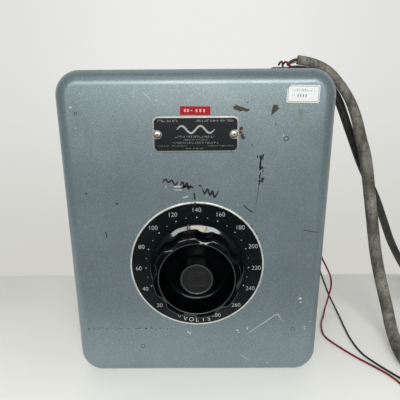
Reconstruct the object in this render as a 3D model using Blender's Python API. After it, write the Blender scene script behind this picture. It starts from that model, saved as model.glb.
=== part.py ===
"""A variable autotransformer in a drawn steel case, modelled piece by piece.

World frame: metres, +Z up, the front faces -Y, +X is to the right. The origin is the
middle of the case's underside. Round pieces are turned about a local Z axis that
points out of the front panel, so their stations are heights above the panel: a
positive station is in front of it and a negative one is inside the case.
"""

from math import atan2, ceil, cos, pi, radians, sin, tau

import bmesh
import bpy
from mathutils import Matrix, Vector

# Driving dimensions, in metres.
CASE_WIDTH = 0.324
CASE_HEIGHT = 0.400
CASE_DEPTH = 0.210
WALL = 0.002
CORNER_RADIUS = 0.030
FRONT_FILLET = 0.017
GAP = 0.0003
FRONT_Y = -CASE_DEPTH / 2
BACK_Y = CASE_DEPTH / 2
HALF_WIDTH = CASE_WIDTH / 2
AXIS_Z = 0.1634

# The back pan sits inside the cover and stands a little proud of its rear rim.
COVER_RIM_Y = BACK_Y - 0.002
PAN_FLANGE = 0.022
PAN_FRONT = FRONT_Y - (BACK_Y - WALL)
PAN_HOLE_X = 0.125
PAN_HOLE_Z = (0.040, 0.360)
PAN_HOLE_RADIUS = 0.0045
COVER_SCREW_Z = (0.070, 0.330)
COVER_SCREW_Y = BACK_Y - 0.012
SCREW_SHANK = 0.0022
SCREW_HOLE = 0.0026
VENT_SIZE = (0.034, 0.004)
VENT_Y = (0.000, 0.046)
VENT_Z = [z + 0.016 * row for z in (0.066, 0.272) for row in range(5)]

# Plate and labels on the front.
NAMEPLATE_SIZE = (0.0996, 0.0410, 0.0008)
NAMEPLATE_Z = 0.3279
RIVET_X = 0.0440
TAPE_SIZE = (0.0343, 0.0094, 0.0005)
TAPE_PLACE = (-0.0004, 0.3545, radians(-0.8))
STICKER_SIZE = (0.0366, 0.0192, 0.0003)
STICKER_PLACE = (0.1204, 0.3718, radians(-1.0))

# Dial, knob and shaft.
DIAL_RADIUS = 0.0844
DIAL_HOLE = 0.018
DIAL_THICKNESS = 0.0015
SKIRT_RADIUS = 0.0589
GRIP_RADIUS = 0.0526
BOSS_RADIUS = 0.0196
KNOB_TOP = 0.0388
SCALLOPS = 8
SCALLOP_DEPTH = 0.0039
SCALLOP_WIDTH = 0.25
SCALLOP_TURN = radians(10.0)
POINTER_TURN = radians(-10.0)
SHAFT_RADIUS = 0.00635
SHAFT_CLEARANCE = 0.00005
RUNNING_CLEARANCE = 0.00010
HUB_RADIUS = 0.0115

# Stations of the coil and its clamps, measured from the front panel.
TRACK_STATION = -0.067
WINDING_DEPTH = 0.090
WINDING_OUTER = 0.128
WINDING_INNER = 0.062
WINDING_WALL = 0.0072
WINDING_GAP = radians(30.0)
CLAMP_FRONT = -0.0574
CLAMP_BACK = -0.0634
BASE_FRONT = -0.1606
BASE_BACK = -0.1686
BOLT_CIRCLE = 0.052
FOOT_CIRCLE = 0.096
BRUSH_RADIUS = 0.118
STOP_RADIUS = 0.072
FINGER_ANGLE = radians(30.0)
LEAD_HOLE_CIRCLE = 0.0560
LEAD_HOLE = 0.0034
BRUSH_SIZE = (0.0096, 0.0150, 0.0140)
BRUSH_TIP = TRACK_STATION + GAP
HOLDER_SIZE = (0.0150, 0.0205, 0.0260)
HOLDER_FRONT = -0.0303

# Terminal board behind the coil, and the wires that run to it.
LEAD_WIRE = 0.0020
BOARD_SIZE = (0.180, 0.062, 0.006)
BOARD_Z = 0.347
BOARD_FRONT = -0.150
TERMINAL_X = (-0.055, 0.0, 0.055)

# Cords: thickness, and the points that each route was drawn through.
SUPPLY_RADIUS = 0.009
LOAD_RADIUS = 0.00635
LEAD_RADIUS = 0.0015
BUSHING_X = 0.1240
BUSHING_Y = 0.040
BUSHING_SIZE = (0.028, 0.030, 0.0094)
SPIGOT_RADIUS = 0.0115
SUPPLY_COIL = (0.415, -0.085)
SUPPLY_COIL_RADIUS = 0.090
LOAD_COIL = (0.492, 0.090)
LOAD_COIL_RADIUS = 0.0635
SUPPLY_ROUTE = [
    (0.1470, 0.0400, 0.4203),
    (0.1590, 0.0400, 0.4184),
    (0.1700, 0.0400, 0.4157),
    (0.1830, 0.0400, 0.4106),
    (0.1965, 0.0400, 0.4021),
    (0.2132, 0.0400, 0.3848),
    (0.2274, 0.0400, 0.3655),
    (0.2361, 0.0398, 0.3490),
    (0.2435, 0.0390, 0.3302),
    (0.2501, 0.0370, 0.3072),
    (0.2602, 0.0320, 0.2707),
    (0.2728, 0.0240, 0.1973),
    (0.2803, 0.0170, 0.1478),
    (0.2850, 0.0100, 0.1170),
    (0.2912, -0.0010, 0.0830),
    (0.2982, -0.0170, 0.0440),
    (0.2990, -0.0330, 0.0225),
    (0.2975, -0.0530, 0.0112),
    (0.2941, -0.0733, 0.0093),
    (0.2925, -0.0950, 0.0093),
    (0.2975, -0.1180, 0.0093),
    (0.3100, -0.1380, 0.0093),
    (0.3285, -0.1550, 0.0093),
]
LOAD_ROUTE = [
    (0.1393, 0.0485, 0.40665),
    (0.1560, 0.0508, 0.4068),
    (0.1780, 0.0545, 0.4015),
    (0.2005, 0.0575, 0.3855),
    (0.2190, 0.0595, 0.3620),
    (0.2403, 0.0622, 0.3175),
    (0.2675, 0.0655, 0.2600),
    (0.2985, 0.0720, 0.2080),
    (0.3220, 0.0785, 0.1620),
    (0.3430, 0.0850, 0.1200),
    (0.3660, 0.0930, 0.0840),
    (0.3900, 0.1030, 0.0510),
    (0.4100, 0.1165, 0.0260),
    (0.4260, 0.1325, 0.0110),
    (0.4395, 0.1475, 0.0068),
]
RED_ROUTE = [
    (0.1248, 0.0350, 0.4129),
    (0.1258, 0.0340, 0.4150),
    (0.1275, 0.0315, 0.4167),
    (0.1298, 0.0278, 0.4155),
    (0.1320, 0.0240, 0.4118),
    (0.1347, 0.0208, 0.4070),
    (0.1385, 0.0190, 0.4030),
    (0.1440, 0.0200, 0.4022),
    (0.1495, 0.0225, 0.3990),
    (0.1550, 0.0245, 0.3932),
    (0.1610, 0.0255, 0.3850),
    (0.1650, 0.0260, 0.3700),
    (0.1660, 0.0270, 0.3450),
    (0.1680, 0.0290, 0.2950),
    (0.1730, 0.0310, 0.2400),
    (0.1820, 0.0350, 0.1850),
    (0.1950, 0.0400, 0.1400),
    (0.2089, 0.0430, 0.1060),
    (0.2180, 0.0445, 0.0890),
    (0.2275, 0.0460, 0.0690),
    (0.2305, 0.0470, 0.0520),
    (0.2290, 0.0480, 0.0340),
    (0.2255, 0.0470, 0.0180),
    (0.2210, 0.0420, 0.0060),
    (0.2150, 0.0290, 0.0018),
    (0.2070, 0.0130, 0.0018),
    (0.2005, -0.0110, 0.0018),
    (0.2015, -0.0300, 0.0018),
    (0.2155, -0.0545, 0.0018),
    (0.2313, -0.0762, 0.0018),
    (0.2489, -0.0964, 0.0018),
    (0.2612, -0.1122, 0.0018),
    (0.2682, -0.1280, 0.0018),
    (0.2722, -0.1440, 0.0018),
    (0.2745, -0.1600, 0.0018),
]
BLACK_ROUTE = [
    (0.1182, 0.0310, 0.4124),
    (0.1197, 0.0325, 0.4154),
    (0.1238, 0.0380, 0.4178),
    (0.1265, 0.0460, 0.4171),
    (0.1285, 0.0535, 0.4146),
    (0.1312, 0.0595, 0.4100),
    (0.1372, 0.0645, 0.4045),
    (0.1460, 0.0680, 0.4003),
    (0.1560, 0.0680, 0.3935),
    (0.1630, 0.0670, 0.3820),
    (0.1652, 0.0660, 0.3660),
    (0.1660, 0.0640, 0.3350),
    (0.1690, 0.0610, 0.2750),
    (0.1745, 0.0580, 0.2150),
    (0.1830, 0.0560, 0.1600),
    (0.1950, 0.0540, 0.1150),
    (0.2085, 0.0520, 0.0820),
    (0.2280, 0.0520, 0.0350),
    (0.2400, 0.0500, 0.0110),
    (0.2440, 0.0400, 0.0018),
    (0.2425, 0.0220, 0.0018),
    (0.2402, -0.0002, 0.0018),
    (0.2384, -0.0350, 0.0018),
    (0.2420, -0.0662, 0.0018),
    (0.2535, -0.0890, 0.0018),
    (0.2640, -0.1050, 0.0018),
    (0.2735, -0.1190, 0.0018),
    (0.2810, -0.1350, 0.0018),
    (0.2860, -0.1510, 0.0018),
]
CONDUCTOR_BLACK = [
    (0.1330, 0.0405, 0.4124),
    (0.1347, 0.0404, 0.4154),
    (0.1385, 0.0400, 0.4184),
    (0.1430, 0.0394, 0.4202),
    (0.1460, 0.0391, 0.4206),
]
CONDUCTOR_WHITE = [
    (0.1355, 0.0448, 0.4116),
    (0.1376, 0.0445, 0.4148),
    (0.1415, 0.0442, 0.4167),
    (0.1442, 0.0441, 0.4172),
    (0.1458, 0.0440, 0.4173),
]



def clear_scene():
    for old in list(bpy.data.objects):
        bpy.data.objects.remove(old, do_unlink=True)


def material(name, colour, roughness, metallic=0.0):
    """A Principled material with one colour, made once and then shared."""
    found = bpy.data.materials.get(name)
    if found:
        return found
    made = bpy.data.materials.new(name)
    made.use_nodes = True
    shader = made.node_tree.nodes["Principled BSDF"]
    shader.inputs["Base Color"].default_value = (*colour, 1.0)
    shader.inputs["Roughness"].default_value = roughness
    shader.inputs["Metallic"].default_value = metallic
    return made


def hammer_paint():
    return material("hammer_paint", (0.17, 0.21, 0.22), 0.38, 0.35)


def bare_steel():
    return material("bare_steel", (0.48, 0.48, 0.47), 0.35, 1.0)


def plated_steel():
    return material("plated_steel", (0.62, 0.60, 0.54), 0.3, 1.0)


def aluminium():
    return material("aluminium", (0.62, 0.63, 0.64), 0.4, 1.0)


def copper():
    return material("copper", (0.62, 0.27, 0.13), 0.35, 1.0)


def brass():
    return material("brass", (0.66, 0.48, 0.20), 0.3, 1.0)


def black_enamel():
    return material("black_enamel", (0.008, 0.013, 0.016), 0.35)


def phenolic():
    return material("phenolic", (0.004, 0.004, 0.005), 0.12)


def board_brown():
    return material("board_brown", (0.13, 0.065, 0.03), 0.5)


def core_steel():
    return material("core_steel", (0.09, 0.09, 0.10), 0.5, 0.7)


def carbon():
    return material("carbon", (0.02, 0.02, 0.02), 0.7)


def bright_metal():
    return material("bright_metal", (0.75, 0.74, 0.71), 0.25, 1.0)


def red_tape():
    return material("red_tape", (0.38, 0.004, 0.015), 0.3)


def paper_label():
    return material("paper_label", (0.74, 0.74, 0.71), 0.5)


def grey_rubber():
    return material("grey_rubber", (0.20, 0.185, 0.17), 0.75)


def black_rubber():
    return material("black_rubber", (0.022, 0.022, 0.023), 0.6)


def red_sleeve():
    return material("red_sleeve", (0.33, 0.008, 0.012), 0.45)


def white_sleeve():
    return material("white_sleeve", (0.62, 0.60, 0.55), 0.5)


def add_mesh(name, mesh, finish, place=None):
    """Link a mesh as an object, shade it smooth with sharp edges kept, and place it."""
    if finish:
        mesh.materials.append(finish)
    mesh.shade_smooth()
    mesh.set_sharp_from_angle(angle=radians(35.0))
    piece = bpy.data.objects.new(name, mesh)
    bpy.context.collection.objects.link(piece)
    if place:
        piece.matrix_world = place
    return piece


def mesh_from(name, points, faces):
    mesh = bpy.data.meshes.new(name)
    mesh.from_pydata(points, [], faces)
    work = bmesh.new()
    work.from_mesh(mesh)
    bmesh.ops.recalc_face_normals(work, faces=work.faces)
    work.to_mesh(mesh)
    work.free()
    return mesh


def loft(name, rings, wrap=False):
    """Join equal rings of points into one closed mesh, capped at both ends or wrapped round."""
    count = len(rings[0])
    points = [tuple(point) for ring in rings for point in ring]
    faces = []
    for index in range(len(rings) if wrap else len(rings) - 1):
        low = index * count
        high = (index + 1) % len(rings) * count
        for step in range(count):
            after = (step + 1) % count
            faces.append((low + step, low + after, high + after, high + step))
    if not wrap:
        faces.append(tuple(range(count)))
        faces.append(tuple(range(len(points) - count, len(points))))
    return mesh_from(name, points, faces)


def circle(radius, station, segments, lobe=None):
    """A ring of points around local Z. lobe, if given, changes the radius by angle."""
    ring = []
    for step in range(segments):
        angle = tau * step / segments
        reach = radius - (lobe(angle) if lobe else 0.0)
        ring.append((reach * cos(angle), reach * sin(angle), station))
    return ring


def turned(name, profile, segments=32, tube=False):
    """Turn (radius, station) points about local Z. A tube's profile is a closed loop."""
    return loft(name, [circle(r, s, segments) for r, s in profile], wrap=tube)


def washer(name, inner, outer, low, high, segments=32):
    profile = [(inner, low), (outer, low), (outer, high), (inner, high)]
    return turned(name, profile, segments, tube=True)


def block(name, size, centre=(0.0, 0.0, 0.0)):
    mesh = bpy.data.meshes.new(name)
    work = bmesh.new()
    scale = Matrix.Diagonal((*size, 1.0))
    bmesh.ops.create_cube(work, size=1.0, matrix=Matrix.Translation(centre) @ scale)
    work.to_mesh(mesh)
    work.free()
    return mesh


def rounded_outline(half_width, half_height, radius, steps=5):
    """Points of a rectangle with round corners, counter-clockwise from the right."""
    outline = []
    for turn, (sx, sy) in enumerate([(1, 1), (-1, 1), (-1, -1), (1, -1)]):
        for step in range(steps + 1):
            angle = (turn + step / steps) * pi / 2
            x = sx * (half_width - radius) + radius * cos(angle)
            y = sy * (half_height - radius) + radius * sin(angle)
            outline.append((x, y))
    return outline


def plate(name, outline, low, high):
    return loft(name, [[(x, y, low) for x, y in outline], [(x, y, high) for x, y in outline]])


def on_panel(x=0.0, z=0.0, turn=0.0):
    """Place a piece on the front panel: local Z points out of it, local Y points up."""
    upright = Matrix.Rotation(pi / 2, 4, "X")
    return Matrix.Translation((x, FRONT_Y, z)) @ upright @ Matrix.Rotation(turn, 4, "Z")


def on_axis(turn=0.0):
    """Place a piece on the shaft's axis; turn is clockwise as seen from the front."""
    return on_panel(0.0, AXIS_Z, -turn)


def add_bevel(piece, width, segments=2):
    bevel = piece.modifiers.new("edge_round", "BEVEL")
    bevel.width = width
    bevel.segments = segments
    bevel.limit_method = "ANGLE"
    bevel.angle_limit = radians(40.0)
    return bevel


def combine(piece, other, operation):
    """Cut or join a hidden shape into a piece with an exact Boolean."""
    step = piece.modifiers.new(other.name, "BOOLEAN")
    step.operation = operation
    step.solver = "EXACT"
    step.object = other
    other.hide_render = True
    other.display_type = "WIRE"


def helper(name, meshes, place=None):
    """One hidden object that holds several separate closed shapes."""
    joined = bmesh.new()
    for mesh in meshes:
        joined.from_mesh(mesh)
    shape = bpy.data.meshes.new(name)
    joined.to_mesh(shape)
    joined.free()
    return add_mesh(name, shape, None, place)


def moved(mesh, matrix):
    mesh.transform(matrix)
    return mesh


def smooth_route(points, spacing):
    """Points a fixed distance apart on one smooth curve through the given points."""
    guide = [Vector(point) for point in points]
    guide = [2 * guide[0] - guide[1], *guide, 2 * guide[-1] - guide[-2]]
    fine = []
    for a, b, c, d in zip(guide, guide[1:], guide[2:], guide[3:]):
        start = (c - a) / 2
        end = (d - b) / 2
        for step in range(16):
            t = step / 16
            fine.append(
                (2 * t**3 - 3 * t**2 + 1) * b
                + (t**3 - 2 * t**2 + t) * start
                + (3 * t**2 - 2 * t**3) * c
                + (t**3 - t**2) * end
            )
    fine.append(guide[-2])
    along = [0.0]
    for before, after in zip(fine, fine[1:]):
        along.append(along[-1] + (after - before).length)
    count = max(2, ceil(along[-1] / spacing))
    route = []
    index = 0
    for step in range(count + 1):
        goal = along[-1] * step / count
        while index < len(fine) - 2 and along[index + 1] < goal:
            index += 1
        share = (goal - along[index]) / (along[index + 1] - along[index])
        route.append(fine[index].lerp(fine[index + 1], share))
    return route


def tube(name, points, radius, finish, resolution=2):
    """A capped round tube that follows a list of points."""
    data = bpy.data.curves.new(name, "CURVE")
    data.dimensions = "3D"
    data.bevel_depth = radius
    data.bevel_resolution = resolution
    data.use_fill_caps = True
    data.render_resolution_u = 0
    spline = data.splines.new("POLY")
    spline.points.add(len(points) - 1)
    for slot, point in zip(spline.points, points):
        slot.co = (*point, 1.0)
    data.materials.append(finish)
    piece = bpy.data.objects.new(name, data)
    bpy.context.collection.objects.link(piece)
    return piece


def open_box(name, half_width, half_height, corner, fillet, rim, fillet_steps):
    """An open box with a rounded front edge: front face, sides, rim, then back inside."""
    rings = []
    for inset in (0.0, WALL):
        edge = fillet - inset
        stations = []
        for step in range(fillet_steps + 1):
            angle = step / fillet_steps * pi / 2
            shrink = inset + edge * (1 - sin(angle))
            stations.append((shrink, -inset - edge * (1 - cos(angle))))
        stations.append((inset, rim))
        layer = []
        for shrink, station in stations:
            radius = max(corner - shrink, 0.001)
            outline = rounded_outline(half_width - shrink, half_height - shrink, radius)
            layer.append([(x, y, station) for x, y in outline])
        rings += layer[::-1] if inset else layer
    return loft(name, rings)


def screw(name, head_radius, head_height, shank_length, finish, place, shank=SCREW_SHANK):
    """A pan-head screw: local Z points out of the head."""
    rim = head_height * 0.45
    profile = [
        (shank, -shank_length),
        (shank, 0.0),
        (head_radius, 0.0),
        (head_radius, rim),
        (head_radius * 0.62, head_height),
    ]
    return add_mesh(name, turned(name, profile, 12), finish, place)


def side_hole(radius, length, side, y, z, segments=12):
    """A short cylinder through a side wall, for use as a cutter."""
    mesh = turned("side_hole", [(radius, -length / 2), (radius, length / 2)], segments)
    return moved(mesh, Matrix.Translation((side * HALF_WIDTH, y, z)) @ Matrix.Rotation(pi / 2, 4, "Y"))


def side_slot(side, y, z):
    return block("side_slot", (0.02, *VENT_SIZE), (side * HALF_WIDTH, y + VENT_SIZE[0] / 2, z))


def panel_hole(radius, x, z, front=0.01, back=-0.01, segments=12):
    mesh = turned("panel_hole", [(radius, back), (radius, front)], segments)
    return moved(mesh, on_panel(x, z))


def make_front_cover():
    depth = COVER_RIM_Y - FRONT_Y
    mesh = open_box(
        "front_cover", HALF_WIDTH, CASE_HEIGHT / 2, CORNER_RADIUS, FRONT_FILLET, -depth, 4
    )
    cover = add_mesh("front_cover", mesh, hammer_paint(), on_panel(0.0, CASE_HEIGHT / 2))
    cuts = [panel_hole(DIAL_HOLE, 0.0, AXIS_Z, segments=32)]
    cuts += [panel_hole(0.0023, x, NAMEPLATE_Z) for x in (-RIVET_X, RIVET_X)]
    for side in (-1, 1):
        cuts += [side_slot(side, y, z) for y in VENT_Y for z in VENT_Z]
        cuts += [side_hole(SCREW_HOLE, 0.02, side, COVER_SCREW_Y, z) for z in COVER_SCREW_Z]
    top = turned("top_hole", [(SPIGOT_RADIUS + GAP, -0.01), (SPIGOT_RADIUS + GAP, 0.01)], 24)
    cuts.append(moved(top, Matrix.Translation((BUSHING_X, BUSHING_Y, CASE_HEIGHT))))
    combine(cover, helper("cover_cuts", cuts), "DIFFERENCE")


def make_back_pan():
    inset = WALL + GAP
    mesh = open_box(
        "back_pan",
        HALF_WIDTH - inset,
        CASE_HEIGHT / 2 - inset,
        CORNER_RADIUS - inset,
        0.004,
        -PAN_FLANGE,
        2,
    )
    turned_back = Matrix.Translation((0.0, BACK_Y, CASE_HEIGHT / 2)) @ Matrix.Rotation(-pi / 2, 4, "X")
    pan = add_mesh("back_pan", mesh, hammer_paint(), turned_back)
    cuts = []
    for side in (-1, 1):
        cuts += [side_hole(SCREW_HOLE - 0.0003, 0.02, side, COVER_SCREW_Y, z) for z in COVER_SCREW_Z]
        for z in PAN_HOLE_Z:
            cuts.append(panel_hole(PAN_HOLE_RADIUS, side * PAN_HOLE_X, z, -0.19, -0.22))
    for x, z in foot_places():
        cuts.append(panel_hole(0.0034, x, z, -0.19, -0.22))
    combine(pan, helper("pan_cuts", cuts), "DIFFERENCE")


def make_cover_screws():
    for number, (side, z) in enumerate([(s, z) for s in (-1, 1) for z in COVER_SCREW_Z], 1):
        place = Matrix.Translation((side * (HALF_WIDTH + GAP), COVER_SCREW_Y, z))
        place = place @ Matrix.Rotation(side * pi / 2, 4, "Y")
        screw(f"cover_screw_{number}", 0.0048, 0.0026, 0.0085, plated_steel(), place)


def make_nameplate():
    width, height, thickness = NAMEPLATE_SIZE
    outline = rounded_outline(width / 2, height / 2, 0.007, 4)
    mesh = plate("nameplate", outline, GAP, GAP + thickness)
    plate_piece = add_mesh("nameplate", mesh, black_enamel(), on_panel(0.0, NAMEPLATE_Z))
    holes = [panel_hole(0.0020, x, NAMEPLATE_Z) for x in (-RIVET_X, RIVET_X)]
    combine(plate_piece, helper("nameplate_holes", holes), "DIFFERENCE")
    for side, label in ((-1, "left"), (1, "right")):
        place = on_panel(side * RIVET_X, NAMEPLATE_Z) @ Matrix.Translation((0, 0, 2 * GAP + thickness))
        screw(f"nameplate_rivet_{label}", 0.0032, 0.0014, 0.0045, bright_metal(), place, 0.0016)


def make_labels():
    for name, size, corner, steps, finish, place in (
        ("tape_label", TAPE_SIZE, 0.0005, 2, red_tape(), TAPE_PLACE),
        ("asset_sticker", STICKER_SIZE, 0.0018, 3, paper_label(), STICKER_PLACE),
    ):
        width, height, thickness = size
        outline = rounded_outline(width / 2, height / 2, corner, steps)
        label = plate(name, outline, GAP, GAP + thickness)
        add_mesh(name, label, finish, on_panel(*place))


def make_dial_plate():
    rim = 0.0006
    profile = [
        (DIAL_HOLE, GAP),
        (DIAL_RADIUS, GAP),
        (DIAL_RADIUS, GAP + DIAL_THICKNESS - rim),
        (DIAL_RADIUS - rim, GAP + DIAL_THICKNESS),
        (DIAL_HOLE, GAP + DIAL_THICKNESS),
    ]
    add_mesh("dial_plate", turned("dial_plate", profile, 56, tube=True), black_enamel(), on_axis())


def scallop(angle):
    """How far the grip's edge is drawn in at an angle: round hollows for the fingers."""
    around = (angle + SCALLOP_TURN - pi / 2) * SCALLOPS / tau
    off_centre = (around + 0.5) % 1.0 - 0.5
    return SCALLOP_DEPTH * max(0.0, 1.0 - (off_centre / SCALLOP_WIDTH) ** 2)


def make_knob():
    """A skirt, a scalloped grip and a dished front with a boss, as (radius, station, hollow)."""
    bore = HUB_RADIUS + 0.0006
    sections = [
        (bore, 0.0240, 0.0),
        (bore, 0.0045, 0.0),
        (SKIRT_RADIUS - 0.0030, 0.0055, 0.0),
        (SKIRT_RADIUS, 0.0080, 0.0),
        (SKIRT_RADIUS - 0.0006, 0.0094, 0.0),
        (GRIP_RADIUS + 0.0010, 0.0104, 0.0),
        (GRIP_RADIUS, 0.0115, 1.0),
        (GRIP_RADIUS - 0.0003, 0.0366, 1.0),
        (GRIP_RADIUS - 0.0017, 0.0380, 0.95),
        (0.0455, KNOB_TOP, 0.0),
        (0.0440, 0.0378, 0.0),
        (0.0400, 0.0250, 0.0),
        (0.0300, 0.0155, 0.0),
        (0.0215, 0.0155, 0.0),
        (BOSS_RADIUS, 0.0370, 0.0),
        (BOSS_RADIUS - 0.0010, 0.0380, 0.0),
    ]
    rings = []
    for radius, station, share in sections:
        lobe = (lambda angle, share=share: share * scallop(angle)) if share else None
        rings.append(circle(radius, station, SCALLOPS * 8, lobe))
    add_mesh("knob", loft("knob", rings), phenolic(), on_axis())


def make_knob_hub():
    hub = washer("knob_hub", SHAFT_RADIUS + SHAFT_CLEARANCE, HUB_RADIUS, 0.0048, 0.0230, 24)
    piece = add_mesh("knob_hub", hub, brass(), on_axis())
    hole = turned("hub_hole", [(0.0022, 0.0), (0.0022, 0.02)], 16)
    across = on_axis() @ Matrix.Translation((0, 0, 0.0130)) @ Matrix.Rotation(-pi / 2, 4, "X")
    combine(piece, helper("hub_hole", [moved(hole, across)]), "DIFFERENCE")
    screw_mesh = turned("knob_set_screw", [(0.0018, 0.0067), (0.0018, 0.0113)], 12)
    add_mesh("knob_set_screw", screw_mesh, bare_steel(), across)


def make_shaft():
    low = -0.1880
    profile = [
        (SHAFT_RADIUS - 0.0008, low),
        (SHAFT_RADIUS, low + 0.0008),
        (SHAFT_RADIUS, 0.0222),
        (SHAFT_RADIUS - 0.0008, 0.0230),
    ]
    add_mesh("shaft", turned("shaft", profile, 24), bare_steel(), on_axis())
    collar = washer("shaft_collar", SHAFT_RADIUS + SHAFT_CLEARANCE, 0.0125, -0.1875, -0.1806, 24)
    add_mesh("shaft_collar", collar, plated_steel(), on_axis())


def make_rotor():
    """The turning disc that cools and carries the brush, with its hub and stop lug."""
    bore = SHAFT_RADIUS + SHAFT_CLEARANCE
    profile = [
        (bore, -0.0120),
        (0.0180, -0.0120),
        (0.0200, -0.0240),
        (0.0420, -0.0240),
        (0.0450, -0.0255),
        (0.1000, -0.0255),
        (0.1020, -0.0235),
        (0.1270, -0.0235),
        (0.1270, -0.0300),
        (0.0200, -0.0300),
        (0.0200, -0.0400),
        (bore, -0.0400),
    ]
    mesh = turned("brush_radiator", profile, 32, tube=True)
    disc = add_mesh("brush_radiator", mesh, aluminium(), on_axis(POINTER_TURN))
    lug = block("stop_lug", (0.014, 0.016, 0.024), (0.0, STOP_RADIUS, -0.0400))
    combine(disc, helper("stop_lug", [lug], on_axis(POINTER_TURN)), "UNION")
    ring = washer("slip_ring", 0.0125, 0.0190, -0.0470, -0.0403, 24)
    add_mesh("slip_ring", ring, brass(), on_axis(POINTER_TURN))


def make_brush_gear():
    place = on_axis(POINTER_TURN)
    length = HOLDER_SIZE[2]
    middle = HOLDER_FRONT - length / 2
    holder_mesh = block("brush_holder", HOLDER_SIZE, (0.0, BRUSH_RADIUS, middle))
    holder = add_mesh("brush_holder", holder_mesh, brass(), place)
    pocket = block(
        "brush_pocket",
        (BRUSH_SIZE[0] + 0.0006, BRUSH_SIZE[1] + 0.0006, length),
        (0.0, BRUSH_RADIUS, middle - 0.004),
    )
    combine(holder, helper("brush_pocket", [pocket], place), "DIFFERENCE")
    centre = (0.0, BRUSH_RADIUS, BRUSH_TIP + BRUSH_SIZE[2] / 2)
    brush = add_mesh("carbon_brush", block("carbon_brush", BRUSH_SIZE, centre), carbon(), place)
    add_bevel(brush, 0.0006, 1)
    top = -0.0348
    bottom = BRUSH_TIP + BRUSH_SIZE[2] + 2 * GAP
    turns = 4
    wire = 0.0004
    radius = 0.0034
    low = bottom + wire
    high = top - wire
    count = turns * 8
    helix = []
    for step in range(count + 1):
        angle = turns * tau * step / count
        station = low + (high - low) * step / count
        helix.append(place @ Vector((radius * cos(angle), BRUSH_RADIUS + radius * sin(angle), station)))
    tube("brush_spring", helix, wire, bare_steel(), 2)


def arc_angles(start, end, steps):
    return [start + (end - start) * step / steps for step in range(steps + 1)]


def make_core():
    cavity = WINDING_WALL + 0.0008
    low = TRACK_STATION - WINDING_DEPTH + cavity
    high = TRACK_STATION - cavity
    profile = [
        (WINDING_INNER + cavity, low),
        (WINDING_OUTER - cavity, low),
        (WINDING_OUTER - cavity, high),
        (WINDING_INNER + cavity, high),
    ]
    add_mesh("core", turned("core", profile, 48, tube=True), core_steel(), on_axis())


def winding_section(inset, chamfer):
    """Corner points of the coil's section, as (radius, station), with cut corners."""
    inner = WINDING_INNER + inset
    outer = WINDING_OUTER - inset
    high = TRACK_STATION - inset
    low = TRACK_STATION - WINDING_DEPTH + inset
    return [
        (inner, low + chamfer),
        (inner + chamfer, low),
        (outer - chamfer, low),
        (outer, low + chamfer),
        (outer, high - chamfer),
        (outer - chamfer, high),
        (inner + chamfer, high),
        (inner, high - chamfer),
    ]


def make_winding():
    """A hollow C around the core, open at both ends, with its gap at the bottom."""
    outside = winding_section(0.0, 0.003)
    inside = winding_section(WINDING_WALL, 0.0002)
    start = -pi / 2 + WINDING_GAP / 2
    angles = arc_angles(start, start + tau - WINDING_GAP, 36)
    points = []
    for angle in angles:
        for radius, station in outside + inside:
            points.append((radius * cos(angle), radius * sin(angle), station))
    sides = len(outside)
    ring = 2 * sides
    faces = []
    for index in range(len(angles) - 1):
        for layer in (0, sides):
            for step in range(sides):
                a = index * ring + layer + step
                b = index * ring + layer + (step + 1) % sides
                faces.append((a, b, b + ring, a + ring))
    for end in (0, (len(angles) - 1) * ring):
        for step in range(sides):
            after = (step + 1) % sides
            faces.append((end + step, end + after, end + sides + after, end + sides + step))
    add_mesh("winding", mesh_from("winding", points, faces), copper(), on_axis())


def bolt_angles():
    """Three places around the axis, counted from the right, one of them on top."""
    return [pi / 2 + turn * tau / 3 for turn in range(3)]


def foot_places():
    return [(FOOT_CIRCLE * cos(a), AXIS_Z + FOOT_CIRCLE * sin(a)) for a in bolt_angles()]


def make_insulators():
    high = TRACK_STATION + GAP + 0.003
    front = washer("front_insulator", 0.064, 0.088, TRACK_STATION + GAP, high, 32)
    add_mesh("front_insulator", front, board_brown(), on_axis())
    back = TRACK_STATION - WINDING_DEPTH
    rear = washer("rear_insulator", 0.064, 0.124, back - 0.0033, back - GAP, 32)
    add_mesh("rear_insulator", rear, board_brown(), on_axis())


def axis_hole(radius, angle, circle_radius, low, high, segments=12):
    mesh = turned("axis_hole", [(radius, low), (radius, high)], segments)
    shift = (circle_radius * cos(angle), circle_radius * sin(angle), 0.0)
    return moved(mesh, Matrix.Translation(shift))


def make_front_clamp():
    profile = [
        (0.0100, -0.0540),
        (0.0180, -0.0540),
        (0.0200, CLAMP_FRONT),
        (0.0860, CLAMP_FRONT),
        (0.0880, CLAMP_FRONT - 0.002),
        (0.0880, CLAMP_BACK),
        (0.0180, CLAMP_BACK),
        (0.0180, -0.0720),
        (0.0100, -0.0720),
    ]
    clamp = add_mesh("front_clamp", turned("front_clamp", profile, 32, tube=True), aluminium(), on_axis())
    holes = [axis_hole(0.0043, a, BOLT_CIRCLE, -0.07, -0.05) for a in bolt_angles()]
    holes.append(axis_hole(LEAD_HOLE, FINGER_ANGLE, LEAD_HOLE_CIRCLE, -0.07, -0.05))
    combine(clamp, helper("clamp_holes", holes, on_axis()), "DIFFERENCE")
    block_size = (0.018, 0.020, 0.0155)
    station = CLAMP_FRONT + GAP + block_size[2] / 2
    stop = block("stop_block", block_size, (0.0, -STOP_RADIUS, station))
    add_bevel(add_mesh("stop_block", stop, black_rubber(), on_axis()), 0.001, 1)


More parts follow.
